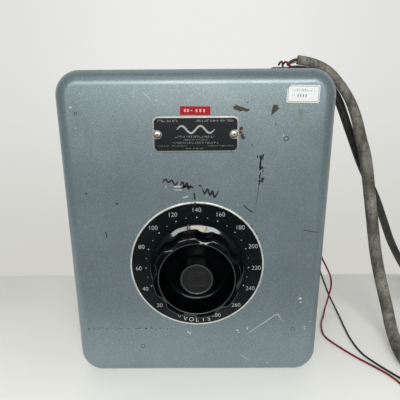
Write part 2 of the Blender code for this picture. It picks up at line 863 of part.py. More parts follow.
def make_base_casting():
    profile = [
        (0.0100, BASE_FRONT),
        (0.1000, BASE_FRONT),
        (0.1000, BASE_BACK),
        (0.0210, BASE_BACK),
        (0.0190, -0.1780),
        (0.0100, -0.1780),
    ]
    base = add_mesh("base_casting", turned("base_casting", profile, 32, tube=True), aluminium(), on_axis())
    for angle in bolt_angles():
        leg = block("leg", (0.010, 0.022, 0.040), (0.0830, 0.0, -0.1855))
        pad = block("pad", (0.026, 0.026, 0.005), (FOOT_CIRCLE, 0.0, -0.2052))
        for name, mesh in (("foot", leg), ("foot_pad", pad)):
            moved(mesh, Matrix.Rotation(angle, 4, "Z"))
            combine(base, helper(name, [mesh], on_axis()), "UNION")
    holes = [axis_hole(0.0043, a, BOLT_CIRCLE, -0.175, -0.155) for a in bolt_angles()]
    holes.append(axis_hole(LEAD_HOLE, FINGER_ANGLE, LEAD_HOLE_CIRCLE, -0.175, -0.155))
    holes += [axis_hole(0.0034, a, FOOT_CIRCLE, -0.22, -0.19) for a in bolt_angles()]
    combine(base, helper("base_holes", holes, on_axis()), "DIFFERENCE")


def make_fasteners_of_the_coil():
    for number, angle in enumerate(bolt_angles(), 1):
        shift = Matrix.Translation((BOLT_CIRCLE * cos(angle), BOLT_CIRCLE * sin(angle), 0.0))
        profile = [
            (0.0062, -0.1755),
            (0.0068, -0.1745),
            (0.0068, BASE_BACK - GAP),
            (0.0040, BASE_BACK - GAP),
            (0.0040, CLAMP_FRONT + GAP),
            (0.0068, CLAMP_FRONT + GAP),
            (0.0068, CLAMP_FRONT + 0.0045),
            (0.0062, CLAMP_FRONT + 0.0052),
        ]
        bolt = turned(f"clamp_bolt_{number}", profile, 12)
        add_mesh(f"clamp_bolt_{number}", bolt, plated_steel(), on_axis() @ shift)
        shift = (FOOT_CIRCLE * cos(angle), FOOT_CIRCLE * sin(angle), -0.2027 + GAP)
        shift = Matrix.Translation(shift)
        screw(f"base_screw_{number}", 0.0055, 0.0036, 0.0068, plated_steel(), on_axis() @ shift, 0.003)


def make_bearings():
    bore = SHAFT_RADIUS + RUNNING_CLEARANCE
    for name, low, high in (("front_bearing", -0.0720, -0.0540), ("rear_bearing", -0.1800, -0.1590)):
        bush = washer(name, bore, 0.0097, low, high, 24)
        add_mesh(name, bush, brass(), on_axis())


def make_contact_finger():
    """A flat spring arm that presses on the turning slip ring, on a post on the clamp."""
    arm = block("arm", (0.0350, 0.0080, 0.0012), (0.0280, 0.0, -0.0479))
    post = block("post", (0.0080, 0.0080, 0.0102), (0.0420, 0.0, -0.0520))
    finger = add_mesh("contact_finger", arm, brass(), on_axis(-FINGER_ANGLE))
    combine(finger, helper("finger_post", [post], on_axis(-FINGER_ANGLE)), "UNION")


def make_terminal_board():
    thickness = BOARD_SIZE[2]
    middle = BOARD_FRONT - thickness / 2
    board = block("terminal_board", BOARD_SIZE, (0.0, 0.0, middle))
    board = add_mesh("terminal_board", board, board_brown(), on_panel(0.0, BOARD_Z))
    holes = [panel_hole(0.0030, x, BOARD_Z, -0.14, -0.17) for x in TERMINAL_X]
    combine(board, helper("board_holes", holes), "DIFFERENCE")
    back = BOARD_FRONT - thickness - GAP
    depth = back - (PAN_FRONT + GAP)
    web = block("terminal_bracket", (0.150, 0.040, 0.002), (0.0, 0.0, back - 0.001))
    bracket = add_mesh("terminal_bracket", web, plated_steel(), on_panel(0.0, BOARD_Z))
    for side in (-1, 1):
        leg = block("bracket_leg", (0.0025, 0.040, depth), (side * 0.07375, 0.0, back - depth / 2))
        combine(bracket, helper("bracket_leg", [leg], on_panel(0.0, BOARD_Z)), "UNION")
    holes = [panel_hole(0.0046, x, BOARD_Z, -0.14, -0.17) for x in TERMINAL_X]
    combine(bracket, helper("bracket_holes", holes), "DIFFERENCE")
    for number, x in enumerate(TERMINAL_X, 1):
        place = on_panel(x, BOARD_Z) @ Matrix.Translation((0, 0, BOARD_FRONT + GAP))
        screw(f"terminal_screw_{number}", 0.0055, 0.0042, 0.0110, brass(), place, 0.0026)


def polar(radius, degrees, y):
    """A point around the shaft's axis, by angle from the right, anticlockwise."""
    angle = radians(degrees)
    return (radius * cos(angle), y, AXIS_Z + radius * sin(angle))


def around(radius, angle, station):
    """A world point at a radius and angle about the shaft and a station along it."""
    return (radius * cos(angle), FRONT_Y - station, AXIS_Z + radius * sin(angle))


def make_internal_leads():
    y_board = FRONT_Y - BOARD_FRONT - GAP - LEAD_WIRE
    side = WINDING_OUTER + 0.0075
    for name, sign, screw_x in (
        ("lead_line", -1, TERMINAL_X[0]),
        ("lead_common", 1, TERMINAL_X[2]),
    ):
        centre = -90.0 + sign * 15.0
        route = [
            polar(WINDING_OUTER + GAP + LEAD_WIRE, centre + sign * 6.0, 0.005),
            polar(WINDING_OUTER + 0.0045, centre + sign * 12.0, 0.005),
            polar(side, centre + sign * 24.0, 0.007),
        ]
        route += [polar(side, centre + sign * turn, 0.010) for turn in range(40, 116, 15)]
        route += [
            (sign * 0.118, 0.014, 0.268),
            (sign * 0.110, 0.027, 0.298),
            (sign * 0.097, 0.036, 0.318),
            (sign * 0.080, y_board - 0.0025, 0.334),
            (screw_x + sign * 0.0085, y_board - 0.0010, BOARD_Z - 0.002),
        ]
        tube(name, smooth_route(route, 0.016), LEAD_WIRE, white_sleeve(), 2)
    through = LEAD_HOLE_CIRCLE
    route = [
        around(0.0464 + LEAD_WIRE / 2, FINGER_ANGLE, -0.0500),
        around(0.0510, FINGER_ANGLE, -0.0506),
        around(through - 0.0012, FINGER_ANGLE, -0.0545),
        around(through, FINGER_ANGLE, -0.0620),
        around(through, FINGER_ANGLE, -0.1000),
        around(through, FINGER_ANGLE, -0.1560),
        around(through, FINGER_ANGLE, -0.1680),
        around(through + 0.003, FINGER_ANGLE + 0.05, -0.1770),
        (0.0500, FRONT_Y + 0.1820, 0.2080),
        (0.0480, FRONT_Y + 0.1830, 0.2450),
        (0.0400, FRONT_Y + 0.1800, 0.2780),
        (0.0290, FRONT_Y + 0.1660, 0.2960),
        (0.0190, y_board + 0.0020, 0.3010),
        (0.0120, y_board - 0.0010, 0.3160),
        (0.0087, y_board - 0.0005, BOARD_Z - 0.004),
    ]
    tube("lead_brush", smooth_route(route, 0.010), LEAD_WIRE, red_sleeve(), 2)


def make_bushing():
    width, length, height = BUSHING_SIZE
    outline = rounded_outline(width / 2, length / 2, 0.005, 4)
    low = plate("cable_bushing", outline, GAP, GAP + height)
    place = Matrix.Translation((BUSHING_X, BUSHING_Y, CASE_HEIGHT))
    bushing = add_mesh("cable_bushing", low, black_rubber(), place)
    spigot = turned("spigot", [(SPIGOT_RADIUS, -0.0060), (SPIGOT_RADIUS, 0.004)], 24)
    combine(bushing, helper("spigot", [spigot], place), "UNION")


def coil_ring(name, centre, middle, radius, layers, finish):
    """The outer shape of a round coil whose turns lie on each other."""
    low = 0.0003
    high = low + 2 * radius * layers
    ring = washer(name, middle - radius, middle + radius, low, high, 40)
    add_mesh(name, ring, finish, Matrix.Translation((*centre, 0.0)))
    return high


def make_supply_cord():
    tube("supply_cable", smooth_route(SUPPLY_ROUTE, 0.022), SUPPLY_RADIUS, grey_rubber(), 3)
    top = coil_ring("supply_coil", SUPPLY_COIL, SUPPLY_COIL_RADIUS, SUPPLY_RADIUS, 2, grey_rubber())
    place = Matrix.Translation((SUPPLY_COIL[0], SUPPLY_COIL[1] + SUPPLY_COIL_RADIUS, top + GAP))
    make_round_fitting("supply_plug", 0.0190, 0.058, place, blades=True)


def make_load_cord():
    tube("load_cable", smooth_route(LOAD_ROUTE, 0.018), LOAD_RADIUS, black_rubber(), 2)
    top = coil_ring("load_coil", LOAD_COIL, LOAD_COIL_RADIUS, LOAD_RADIUS, 2, black_rubber())
    place = Matrix.Translation((LOAD_COIL[0], LOAD_COIL[1] - LOAD_COIL_RADIUS, top + GAP))
    make_round_fitting("load_connector", 0.0160, 0.052, place, blades=False)


def make_round_fitting(name, radius, length, place, blades):
    """A plug or connector that lies along X on its coil: local Z is its axis."""
    lying = place @ Matrix.Translation((0.0, 0.0, radius)) @ Matrix.Rotation(-pi / 2, 4, "Y")
    half = length / 2
    profile = [
        (radius * 0.55, -half),
        (radius * 0.72, -half * 0.55),
        (radius, -half * 0.30),
        (radius, half * 0.96),
        (radius * 0.95, half),
    ]
    fitting = add_mesh(name, turned(name, profile, 20), black_rubber(), lying)
    if blades:
        pins = [
            block("pin", (0.0065, 0.0016, 0.024), (x, y, half + 0.008))
            for x, y in ((0.0085, 0.0), (-0.0085, 0.0), (0.0, 0.0095))
        ]
        for pin in pins:
            combine(fitting, helper("plug_pin", [pin], lying), "UNION")


def make_lug(name, end, before):
    """A small ring lug lying flat at a lead's end: a barrel and an eye in one piece."""
    heading = Vector(end) - Vector(before)
    turn = Matrix.Rotation(atan2(heading.y, heading.x), 4, "Z")
    place = Matrix.Translation((end[0], end[1], 0.0)) @ turn
    eye = washer(name, 0.0022, 0.0042, GAP, GAP + 0.0010, 20)
    lug = add_mesh(name, moved(eye, Matrix.Translation((0.0125, 0, 0))), plated_steel(), place)
    barrel = block("lug_barrel", (0.0090, 0.0032, 0.0028), (0.0048, 0.0, GAP + 0.0014))
    combine(lug, helper("lug_barrel", [barrel], place), "UNION")


def make_thin_leads():
    for colour, route, finish in (
        ("red", RED_ROUTE, red_sleeve()),
        ("black", BLACK_ROUTE, black_rubber()),
    ):
        points = smooth_route(route, 0.0118)
        tube(f"{colour}_lead", points, LEAD_RADIUS, finish, 2)
        make_lug(f"{colour}_lug", points[-1], points[-2])


def make_jacket_conductors():
    """Two short conductors that rise from the bushing into the grey jacket's cut end."""
    tube("conductor_black", smooth_route(CONDUCTOR_BLACK, 0.003), 0.0020, black_rubber(), 2)
    tube("conductor_white", smooth_route(CONDUCTOR_WHITE, 0.003), 0.0012, white_sleeve(), 2)


def main():
    clear_scene()
    make_front_cover()
    make_back_pan()
    make_cover_screws()
    make_nameplate()
    make_labels()
    make_dial_plate()
    make_knob()
    make_knob_hub()
    make_shaft()
    make_rotor()
    make_brush_gear()
    make_core()
    make_winding()
    make_insulators()
    make_front_clamp()
    make_base_casting()
    make_fasteners_of_the_coil()
    make_bearings()
    make_contact_finger()
    make_terminal_board()
    make_internal_leads()
    make_bushing()
    make_supply_cord()
    make_load_cord()
    make_thin_leads()
    make_jacket_conductors()


main()
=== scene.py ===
"""Scene for the variable autotransformer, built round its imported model.

World frame: metres, +Z up, the front panel faces -Y, and the origin is the middle of
the case's underside. A station is a height in front of the panel.
"""

import random
from math import atan2, ceil, cos, hypot, pi, radians, sin, tau

import bmesh
import bpy
from mathutils import Matrix, Vector


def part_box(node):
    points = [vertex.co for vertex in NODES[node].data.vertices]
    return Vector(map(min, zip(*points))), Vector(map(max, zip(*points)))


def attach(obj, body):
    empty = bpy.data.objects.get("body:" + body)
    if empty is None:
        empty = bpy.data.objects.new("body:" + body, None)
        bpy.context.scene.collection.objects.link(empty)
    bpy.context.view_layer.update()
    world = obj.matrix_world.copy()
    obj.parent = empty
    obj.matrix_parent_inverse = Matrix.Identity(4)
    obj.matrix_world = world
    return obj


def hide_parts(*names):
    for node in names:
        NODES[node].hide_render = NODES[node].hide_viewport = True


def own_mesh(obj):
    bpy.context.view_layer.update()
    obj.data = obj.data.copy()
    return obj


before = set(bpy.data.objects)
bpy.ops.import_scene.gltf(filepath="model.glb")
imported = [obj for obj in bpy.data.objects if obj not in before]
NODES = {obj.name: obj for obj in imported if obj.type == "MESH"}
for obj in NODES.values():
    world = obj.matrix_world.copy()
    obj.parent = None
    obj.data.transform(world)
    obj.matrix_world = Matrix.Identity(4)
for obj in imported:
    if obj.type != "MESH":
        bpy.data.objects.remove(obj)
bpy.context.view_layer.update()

MM = 0.001

cover_low, cover_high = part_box("front_cover")
FRONT_Y = cover_low.y
RIM_Y = cover_high.y
HALF_WIDTH = cover_high.x
HEIGHT = cover_high.z - cover_low.z
dial_low, dial_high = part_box("dial_plate")
AXIS_Z = (dial_low.z + dial_high.z) / 2
DIAL_RADIUS = dial_high.x
WALL = 0.002
CORNER_RADIUS = 0.030
FRONT_FILLET = 0.017
GAP = 0.0003

# Cords: thickness, and the points that each route goes through, as in the CAD.
SUPPLY_RADIUS = 0.009
LOAD_RADIUS = 0.00635
LEAD_RADIUS = 0.0015
SUPPLY_COIL = (0.415, -0.085)
SUPPLY_COIL_RADIUS = 0.090
LOAD_COIL = (0.492, 0.090)
LOAD_COIL_RADIUS = 0.0635
SUPPLY_ROUTE = [
    (0.1470, 0.0400, 0.4203), (0.1590, 0.0400, 0.4184), (0.1700, 0.0400, 0.4157), (0.1830, 0.0400, 0.4106),
    (0.1965, 0.0400, 0.4021), (0.2132, 0.0400, 0.3848), (0.2274, 0.0400, 0.3655), (0.2361, 0.0398, 0.3490),
    (0.2435, 0.0390, 0.3302), (0.2501, 0.0370, 0.3072), (0.2602, 0.0320, 0.2707), (0.2728, 0.0240, 0.1973),
    (0.2803, 0.0170, 0.1478), (0.2850, 0.0100, 0.1170), (0.2912, -0.0010, 0.0830),
    (0.2982, -0.0170, 0.0440), (0.2990, -0.0330, 0.0225), (0.2975, -0.0530, 0.0112),
    (0.2941, -0.0733, 0.0093), (0.2925, -0.0950, 0.0093), (0.2975, -0.1180, 0.0093),
    (0.3100, -0.1380, 0.0093), (0.3285, -0.1550, 0.0093),
]
LOAD_ROUTE = [
    (0.1393, 0.0485, 0.40665), (0.1560, 0.0508, 0.4068), (0.1780, 0.0545, 0.4015), (0.2005, 0.0575, 0.3855),
    (0.2190, 0.0595, 0.3620), (0.2403, 0.0622, 0.3175), (0.2675, 0.0655, 0.2600), (0.2985, 0.0720, 0.2080),
    (0.3220, 0.0785, 0.1620), (0.3430, 0.0850, 0.1200), (0.3660, 0.0930, 0.0840), (0.3900, 0.1030, 0.0510),
    (0.4100, 0.1165, 0.0260), (0.4260, 0.1325, 0.0110), (0.4395, 0.1475, 0.0068),
]
RED_ROUTE = [
    (0.1248, 0.0350, 0.4129), (0.1258, 0.0340, 0.4150), (0.1275, 0.0315, 0.4167), (0.1298, 0.0278, 0.4155),
    (0.1320, 0.0240, 0.4118), (0.1347, 0.0208, 0.4070), (0.1385, 0.0190, 0.4030), (0.1440, 0.0200, 0.4022),
    (0.1495, 0.0225, 0.3990), (0.1550, 0.0245, 0.3932), (0.1610, 0.0255, 0.3850), (0.1650, 0.0260, 0.3700),
    (0.1660, 0.0270, 0.3450), (0.1680, 0.0290, 0.2950), (0.1730, 0.0310, 0.2400), (0.1820, 0.0350, 0.1850),
    (0.1950, 0.0400, 0.1400), (0.2089, 0.0430, 0.1060), (0.2180, 0.0445, 0.0890), (0.2275, 0.0460, 0.0690),
    (0.2305, 0.0470, 0.0520), (0.2290, 0.0480, 0.0340), (0.2255, 0.0470, 0.0180), (0.2210, 0.0420, 0.0060),
    (0.2150, 0.0290, 0.0018), (0.2070, 0.0130, 0.0018), (0.2005, -0.0110, 0.0018),
    (0.2015, -0.0300, 0.0018), (0.2155, -0.0545, 0.0018), (0.2313, -0.0762, 0.0018),
    (0.2489, -0.0964, 0.0018), (0.2612, -0.1122, 0.0018), (0.2682, -0.1280, 0.0018),
    (0.2722, -0.1440, 0.0018), (0.2745, -0.1600, 0.0018),
]
BLACK_ROUTE = [
    (0.1182, 0.0310, 0.4124), (0.1197, 0.0325, 0.4154), (0.1238, 0.0380, 0.4178), (0.1265, 0.0460, 0.4171),
    (0.1285, 0.0535, 0.4146), (0.1312, 0.0595, 0.4100), (0.1372, 0.0645, 0.4045), (0.1460, 0.0680, 0.4003),
    (0.1560, 0.0680, 0.3935), (0.1630, 0.0670, 0.3820), (0.1652, 0.0660, 0.3660), (0.1660, 0.0640, 0.3350),
    (0.1690, 0.0610, 0.2750), (0.1745, 0.0580, 0.2150), (0.1830, 0.0560, 0.1600), (0.1950, 0.0540, 0.1150),
    (0.2085, 0.0520, 0.0820), (0.2280, 0.0520, 0.0350), (0.2400, 0.0500, 0.0110), (0.2440, 0.0400, 0.0018),
    (0.2425, 0.0220, 0.0018), (0.2402, -0.0002, 0.0018), (0.2384, -0.0350, 0.0018),
    (0.2420, -0.0662, 0.0018), (0.2535, -0.0890, 0.0018), (0.2640, -0.1050, 0.0018),
    (0.2735, -0.1190, 0.0018), (0.2810, -0.1350, 0.0018), (0.2860, -0.1510, 0.0018),
]
CONDUCTOR_BLACK = [
    (0.1330, 0.0405, 0.4124), (0.1347, 0.0404, 0.4154), (0.1385, 0.0400, 0.4184), (0.1430, 0.0394, 0.4202),
    (0.1460, 0.0391, 0.4206),
]
CONDUCTOR_WHITE = [
    (0.1355, 0.0448, 0.4116), (0.1376, 0.0445, 0.4148), (0.1415, 0.0442, 0.4167), (0.1442, 0.0441, 0.4172),
    (0.1458, 0.0440, 0.4173),
]


# ---------------------------------------------------------------- geometry


def srgb(red, green, blue):
    """A linear colour with alpha from 0-255 display values."""
    linear = []
    for value in (red / 255, green / 255, blue / 255):
        linear.append(value / 12.92 if value <= 0.04045 else ((value + 0.055) / 1.055) ** 2.4)
    return (*linear, 1.0)


def on_panel(x=0.0, z=0.0, turn=0.0):
    """Local Z points out of the front panel and local Y points up."""
    upright = Matrix.Rotation(pi / 2, 4, "X")
    return Matrix.Translation((x, FRONT_Y, z)) @ upright @ Matrix.Rotation(turn, 4, "Z")


def on_axis(turn=0.0):
    """On the shaft's axis; turn is clockwise as seen from the front."""
    return on_panel(0.0, AXIS_Z, -turn)


def middle_of(node):
    low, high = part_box(node)
    return (low + high) / 2


def link(name, data):
    piece = bpy.data.objects.new(name, data)
    bpy.context.scene.collection.objects.link(piece)
    return piece


def mesh_piece(name, mesh, materials, place=None, body="root", sharp=35.0):
    """Finish a mesh, put it in place in the world frame and let it ride on a body."""
    if place:
        mesh.transform(place)
    mesh.shade_smooth()
    mesh.set_sharp_from_angle(angle=radians(sharp))
    for finish in materials:
        mesh.materials.append(finish)
    piece = link(name, mesh)
    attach(piece, body)
    return piece


def mesh_from(name, points, faces, tidy=True):
    mesh = bpy.data.meshes.new(name)
    mesh.from_pydata([tuple(p) for p in points], [], faces)
    if tidy:
        work = bmesh.new()
        work.from_mesh(mesh)
        bmesh.ops.recalc_face_normals(work, faces=work.faces)
        work.to_mesh(mesh)
        work.free()
    return mesh


def loft(name, rings, wrap=False):
    """Join equal rings of points, capped at both ends or wrapped round."""
    count = len(rings[0])
    points = [tuple(point) for ring in rings for point in ring]
    faces = []
    for index in range(len(rings) if wrap else len(rings) - 1):
        low = index * count
        high = (index + 1) % len(rings) * count
        for step in range(count):
            after = (step + 1) % count
            faces.append((low + step, low + after, high + after, high + step))
    if not wrap:
        faces.append(tuple(range(count)))
        faces.append(tuple(range(len(points) - count, len(points))))
    return mesh_from(name, points, faces)


def circle(radius, station, segments, lobe=None):
    ring = []
    for step in range(segments):
        angle = tau * step / segments
        reach = radius - (lobe(angle) if lobe else 0.0)
        ring.append((reach * cos(angle), reach * sin(angle), station))
    return ring


def turned(name, profile, segments, tube=False):
    return loft(name, [circle(r, s, segments) for r, s in profile], wrap=tube)


def box_mesh(name, size, centre):
    mesh = bpy.data.meshes.new(name)
    work = bmesh.new()
    scale = Matrix.Diagonal((*size, 1.0))
    bmesh.ops.create_cube(work, size=1.0, matrix=Matrix.Translation(centre) @ scale)
    work.to_mesh(mesh)
    work.free()
    return mesh


def rounded_outline(half_width, half_height, radius, steps):
    outline = []
    for turn, (sx, sy) in enumerate([(1, 1), (-1, 1), (-1, -1), (1, -1)]):
        for step in range(steps + 1):
            angle = (turn + step / steps) * pi / 2
            x = sx * (half_width - radius) + radius * cos(angle)
            y = sy * (half_height - radius) + radius * sin(angle)
            outline.append((x, y))
    return outline


def at(station, outline):
    """An outline's points at one station."""
    return [(x, y, station) for x, y in outline]


def prism(name, outline, low, high):
    return loft(name, [at(low, outline), at(high, outline)])


def joined(name, meshes):
    """One mesh that holds several separate shapes, keeping their material numbers."""
    work = bmesh.new()
    for mesh in meshes:
        work.from_mesh(mesh)
    made = bpy.data.meshes.new(name)
    work.to_mesh(made)
    work.free()
    return made


def joined_piece(name, shapes, finish, place, body="root"):
    mesh_piece(name, joined(name, shapes), [finish], place, body)


def even_shading(piece):
    shading = piece.modifiers.new("even_shading", "WEIGHTED_NORMAL")
    shading.keep_sharp = True


def cut(mesh, cutters):
    """The mesh with the cutters taken away, as a new mesh."""
    body = link("cut_body", mesh)
    tool = link("cut_tool", joined("cut_tool", cutters))
    step = body.modifiers.new("cut", "BOOLEAN")
    step.operation = "DIFFERENCE"
    step.solver = "EXACT"
    step.object = tool
    depsgraph = bpy.context.evaluated_depsgraph_get()
    made = bpy.data.meshes.new_from_object(body.evaluated_get(depsgraph))
    bpy.data.objects.remove(body)
    bpy.data.objects.remove(tool)
    return made


def moved(mesh, matrix):
    mesh.transform(matrix)
    return mesh


def smooth_route(points, spacing):
    """Points a fixed distance apart on one smooth curve through the given points."""
    guide = [Vector(point) for point in points]
    guide = [2 * guide[0] - guide[1], *guide, 2 * guide[-1] - guide[-2]]
    fine = []
    for a, b, c, d in zip(guide, guide[1:], guide[2:], guide[3:]):
        start = (c - a) / 2
        end = (d - b) / 2
        for step in range(16):
            t = step / 16
            fine.append(
                (2 * t**3 - 3 * t**2 + 1) * b
                + (t**3 - 2 * t**2 + t) * start
                + (3 * t**2 - 2 * t**3) * c
                + (t**3 - t**2) * end
            )
    fine.append(guide[-2])
    along = [0.0]
    for before, after in zip(fine, fine[1:]):
        along.append(along[-1] + (after - before).length)
    count = max(2, ceil(along[-1] / spacing))
    route = []
    index = 0
    for step in range(count + 1):
        goal = along[-1] * step / count
        while index < len(fine) - 2 and along[index + 1] < goal:
            index += 1
        share = (goal - along[index]) / (along[index + 1] - along[index])
        route.append(fine[index].lerp(fine[index + 1], share))
    return route


def cable(name, points, radius, finish, slot, resolution, taper=None):
    """A capped round cable on one open spline. taper gives its share of the radius by point."""
    data = bpy.data.curves.new(name, "CURVE")
    data.dimensions = "3D"
    data.bevel_depth = radius
    data.bevel_resolution = resolution
    data.use_fill_caps = True
    spline = data.splines.new("POLY")
    spline.points.add(len(points) - 1)
    for index, (place, point) in enumerate(zip(spline.points, points)):
        place.co = (*point, 1.0)
        place.radius = taper(index) if taper else 1.0
    data.materials.append(finish)
    piece = link(name, data)
    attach(piece, "root")
    return piece


# --------------------------------------------------------------- materials


class Nodes:
    """Nodes and their links in one node tree."""

    def __init__(self, tree):
        self.tree = tree

    def put(self, socket, value):
        if isinstance(value, bpy.types.NodeSocket):
            self.tree.links.new(value, socket)
        else:
            socket.default_value = value

    def add(self, kind, inputs=None, **props):
        node = self.tree.nodes.new("ShaderNode" + kind)
        for key, value in props.items():
            setattr(node, key, value)
        for key, value in (inputs or {}).items():
            self.put(node.inputs[key], value)
        return node

    def span(self, value, low, high, start=0.0, end=1.0, **props):
        """value, from low..high, to start..end, held at the ends."""
        inputs = {"Value": value, "From Min": low, "From Max": high, "To Min": start, "To Max": end}
        return self.add("MapRange", inputs, **props).outputs["Result"]

    def math(self, operation, a, b=0.0):
        return self.add("Math", {0: a, 1: b}, operation=operation).outputs[0]

    def mix(self, share, a, b):
        return self.add("Mix", {0: share, 6: a, 7: b}, data_type="RGBA").outputs[2]

    def axes(self, where):
        return self.add("SeparateXYZ", {0: where}).outputs


class Finish(Nodes):
    """A node material under construction, in the piece's own coordinates."""

    def __init__(self, name):
        self.material = bpy.data.materials.new(name)
        self.material.use_nodes = True
        super().__init__(self.material.node_tree)
        self.shader = self.tree.nodes["Principled BSDF"]
        self.where = self.add("TexCoord").outputs["Object"]

    def stretched(self, scale):
        return self.add("Mapping", {"Vector": self.where, "Scale": scale}).outputs["Vector"]

    def noise(self, scale, detail=2.0, rough=0.5, where=None, twist=0.0):
        inputs = {"Vector": where or self.where, "Scale": scale, "Detail": detail}
        inputs |= {"Roughness": rough, "Distortion": twist}
        return self.add("TexNoise", inputs).outputs["Fac"]

    def bump(self, height, distance, strength=1.0, after=None):
        inputs = {"Height": height, "Distance": distance, "Strength": strength}
        if after:
            inputs["Normal"] = after
        return self.add("Bump", inputs).outputs["Normal"]

    def done(self, colour, roughness, metallic=0.0, normal=None, **more):
        self.put(self.shader.inputs["Base Color"], colour)
        self.put(self.shader.inputs["Roughness"], roughness)
        self.put(self.shader.inputs["Metallic"], metallic)
        if normal:
            self.put(self.shader.inputs["Normal"], normal)
        for key, value in more.items():
            self.put(self.shader.inputs[key.replace("_", " ")], value)
        return self.material


def case_paint():
    """Slate-blue metallic paint with fine grain, grime, specks and faint rubs."""
    f = Finish("case_paint")
    cloud = f.noise(7.0, 3.0)
    colour = f.mix(f.span(cloud, 0.35, 0.65), srgb(126, 142, 149), srgb(117, 133, 137))
    grain = f.noise(1500.0, 2.0, 0.7)
    colour = f.mix(f.span(grain, 0.3, 0.7, 0.0, 0.5), colour, srgb(78, 90, 95))
    flecks = f.noise(1050.0, 1.0, 0.5, where=f.stretched((1.0, 1.0, 1.03)))
    colour = f.mix(f.span(flecks, 0.57, 0.75, 0.0, 0.5), colour, srgb(186, 198, 202))
    patches = f.noise(16.0, 3.0, 0.6)
    specks = f.math("MULTIPLY", f.span(f.noise(620.0, 1.0), 0.69, 0.75), f.span(patches, 0.44, 0.60))
    colour = f.mix(f.math("MULTIPLY", specks, 0.7), colour, srgb(52, 58, 58))
    smear = f.span(f.noise(70.0, 4.0, 0.7, twist=1.2), 0.60, 0.78)
    grime = f.math("MULTIPLY", smear, f.span(patches, 0.5, 0.66))
    colour = f.mix(f.math("MULTIPLY", grime, 0.42), colour, srgb(78, 82, 76))
    rubs = f.noise(60.0, 3.0, 0.6, where=f.stretched((1.0, 1.0, 0.16)))
    colour = f.mix(f.span(rubs, 0.60, 0.80, 0.0, 0.25), colour, srgb(96, 105, 103))
    gloss = f.math("ADD", f.noise(24.0, 4.0), f.math("MULTIPLY", grime, 0.5))
    rough = f.span(gloss, 0.3, 1.1, 0.30, 0.50)
    waves = f.bump(f.noise(14.0, 1.0), 0.0009, 0.3)
    normal = f.bump(grain, 0.00005, 0.45, after=waves)
    return f.done(colour, rough, 0.32, normal, Coat_Weight=0.03, Coat_Roughness=0.14)


def phenolic():
    """Glossy black moulding with dust in its faint scratches."""
    f = Finish("phenolic")
    dust = f.noise(900.0, 3.0, 0.7)
    colour = f.mix(f.span(dust, 0.62, 0.8, 0.0, 0.25), srgb(4, 7, 9), srgb(96, 98, 94))
    rub = f.noise(60.0, 4.0, 0.65, twist=0.8)
    rough = f.span(rub, 0.35, 0.75, 0.05, 0.15)
    normal = f.bump(f.noise(420.0, 2.0), 0.00003, 0.2)
    return f.done(colour, rough, 0.0, normal)


def bowl_black():
    """The bowl of the knob, dulled a little by handling."""
    f = Finish("bowl_black")
    film = f.noise(50.0, 4.0, 0.6, twist=0.6)
    colour = f.mix(f.span(f.noise(1000.0, 3.0, 0.7), 0.64, 0.8, 0.0, 0.3), srgb(3, 5, 6), srgb(70, 72, 70))
    rough = f.span(film, 0.3, 0.7, 0.10, 0.24)
    return f.done(colour, rough, 0.0, f.bump(film, 0.00003, 0.2), Specular_IOR_Level=0.16)


def boss_black():
    """The duller moulded disc in the middle of the knob."""
    f = Finish("boss_black")
    colour = f.mix(f.noise(300.0, 3.0), srgb(13, 14, 14), srgb(27, 28, 27))
    return f.done(colour, 0.42, 0.0, f.bump(f.noise(1800.0, 2.0), 0.00004, 0.4))


def dial_black():
    """Satin black enamel on the dial, with rubbed specks and fine scratches."""
    f = Finish("dial_black")
    mottle = f.noise(60.0, 4.0, 0.6)
    colour = f.mix(mottle, srgb(8, 14, 17), srgb(18, 25, 28))
    specks = f.span(f.noise(700.0, 1.0), 0.71, 0.76, 0.0, 0.5)
    colour = f.mix(specks, colour, srgb(96, 104, 104))
    rough = f.span(f.noise(35.0, 4.0), 0.3, 0.7, 0.28, 0.46)
    normal = f.bump(f.noise(1300.0, 2.0), 0.00003, 0.3)
    return f.done(colour, rough, 0.0, normal, Specular_IOR_Level=0.22)


def bright_rim():
    """Bare aluminium edge, brushed round, with a few dull and rusty places."""
    f = Finish("bright_rim")
    wear = f.noise(90.0, 4.0, 0.7)
    colour = f.mix(f.span(wear, 0.35, 0.7), srgb(222, 226, 223), srgb(180, 181, 175))
    return f.done(colour, f.span(wear, 0.3, 0.7, 0.34, 0.54), 0.35, f.bump(f.noise(900.0), 0.00003, 0.3))


def mark_paint(name, colour, dirt, rough=0.5, shine=0.5):
    """Printed or painted marks with slightly worn, uneven ink."""
    f = Finish(name)
    worn = f.noise(1400.0, 3.0, 0.7)
    tint = f.mix(f.span(worn, 0.5, 0.75, 0.0, 0.6), srgb(*colour), srgb(*dirt))
    return f.done(tint, rough, 0.0, f.bump(worn, 0.00002, 0.3), Specular_IOR_Level=shine)


def jacket(name, light, dark, grime, rough, scale=1.0):
    """Old rubber or vinyl jacket: mottled, with lengthwise dirt and a fine bloom."""
    f = Finish(name)
    blotch = f.noise(38.0 * scale, 5.0, 0.62, twist=0.4)
    colour = f.mix(f.span(blotch, 0.36, 0.66), srgb(*dark), srgb(*light))
    spots = f.span(f.noise(210.0 * scale, 3.0, 0.6), 0.54, 0.70, 0.0, 0.75)
    colour = f.mix(spots, colour, srgb(*grime))
    long_marks = f.noise(260.0 * scale, 3.0, 0.6, where=f.stretched((1.0, 1.0, 0.09)))
    colour = f.mix(f.span(long_marks, 0.50, 0.68, 0.0, 0.6), colour, srgb(*grime))
    fine = f.noise(1500.0, 3.0, 0.6)
    normal = f.bump(fine, 0.00006, 0.5, after=f.bump(blotch, 0.0006, 0.4))
    return f.done(colour, f.span(blotch, 0.3, 0.7, rough + 0.08, rough - 0.08), 0.0, normal)


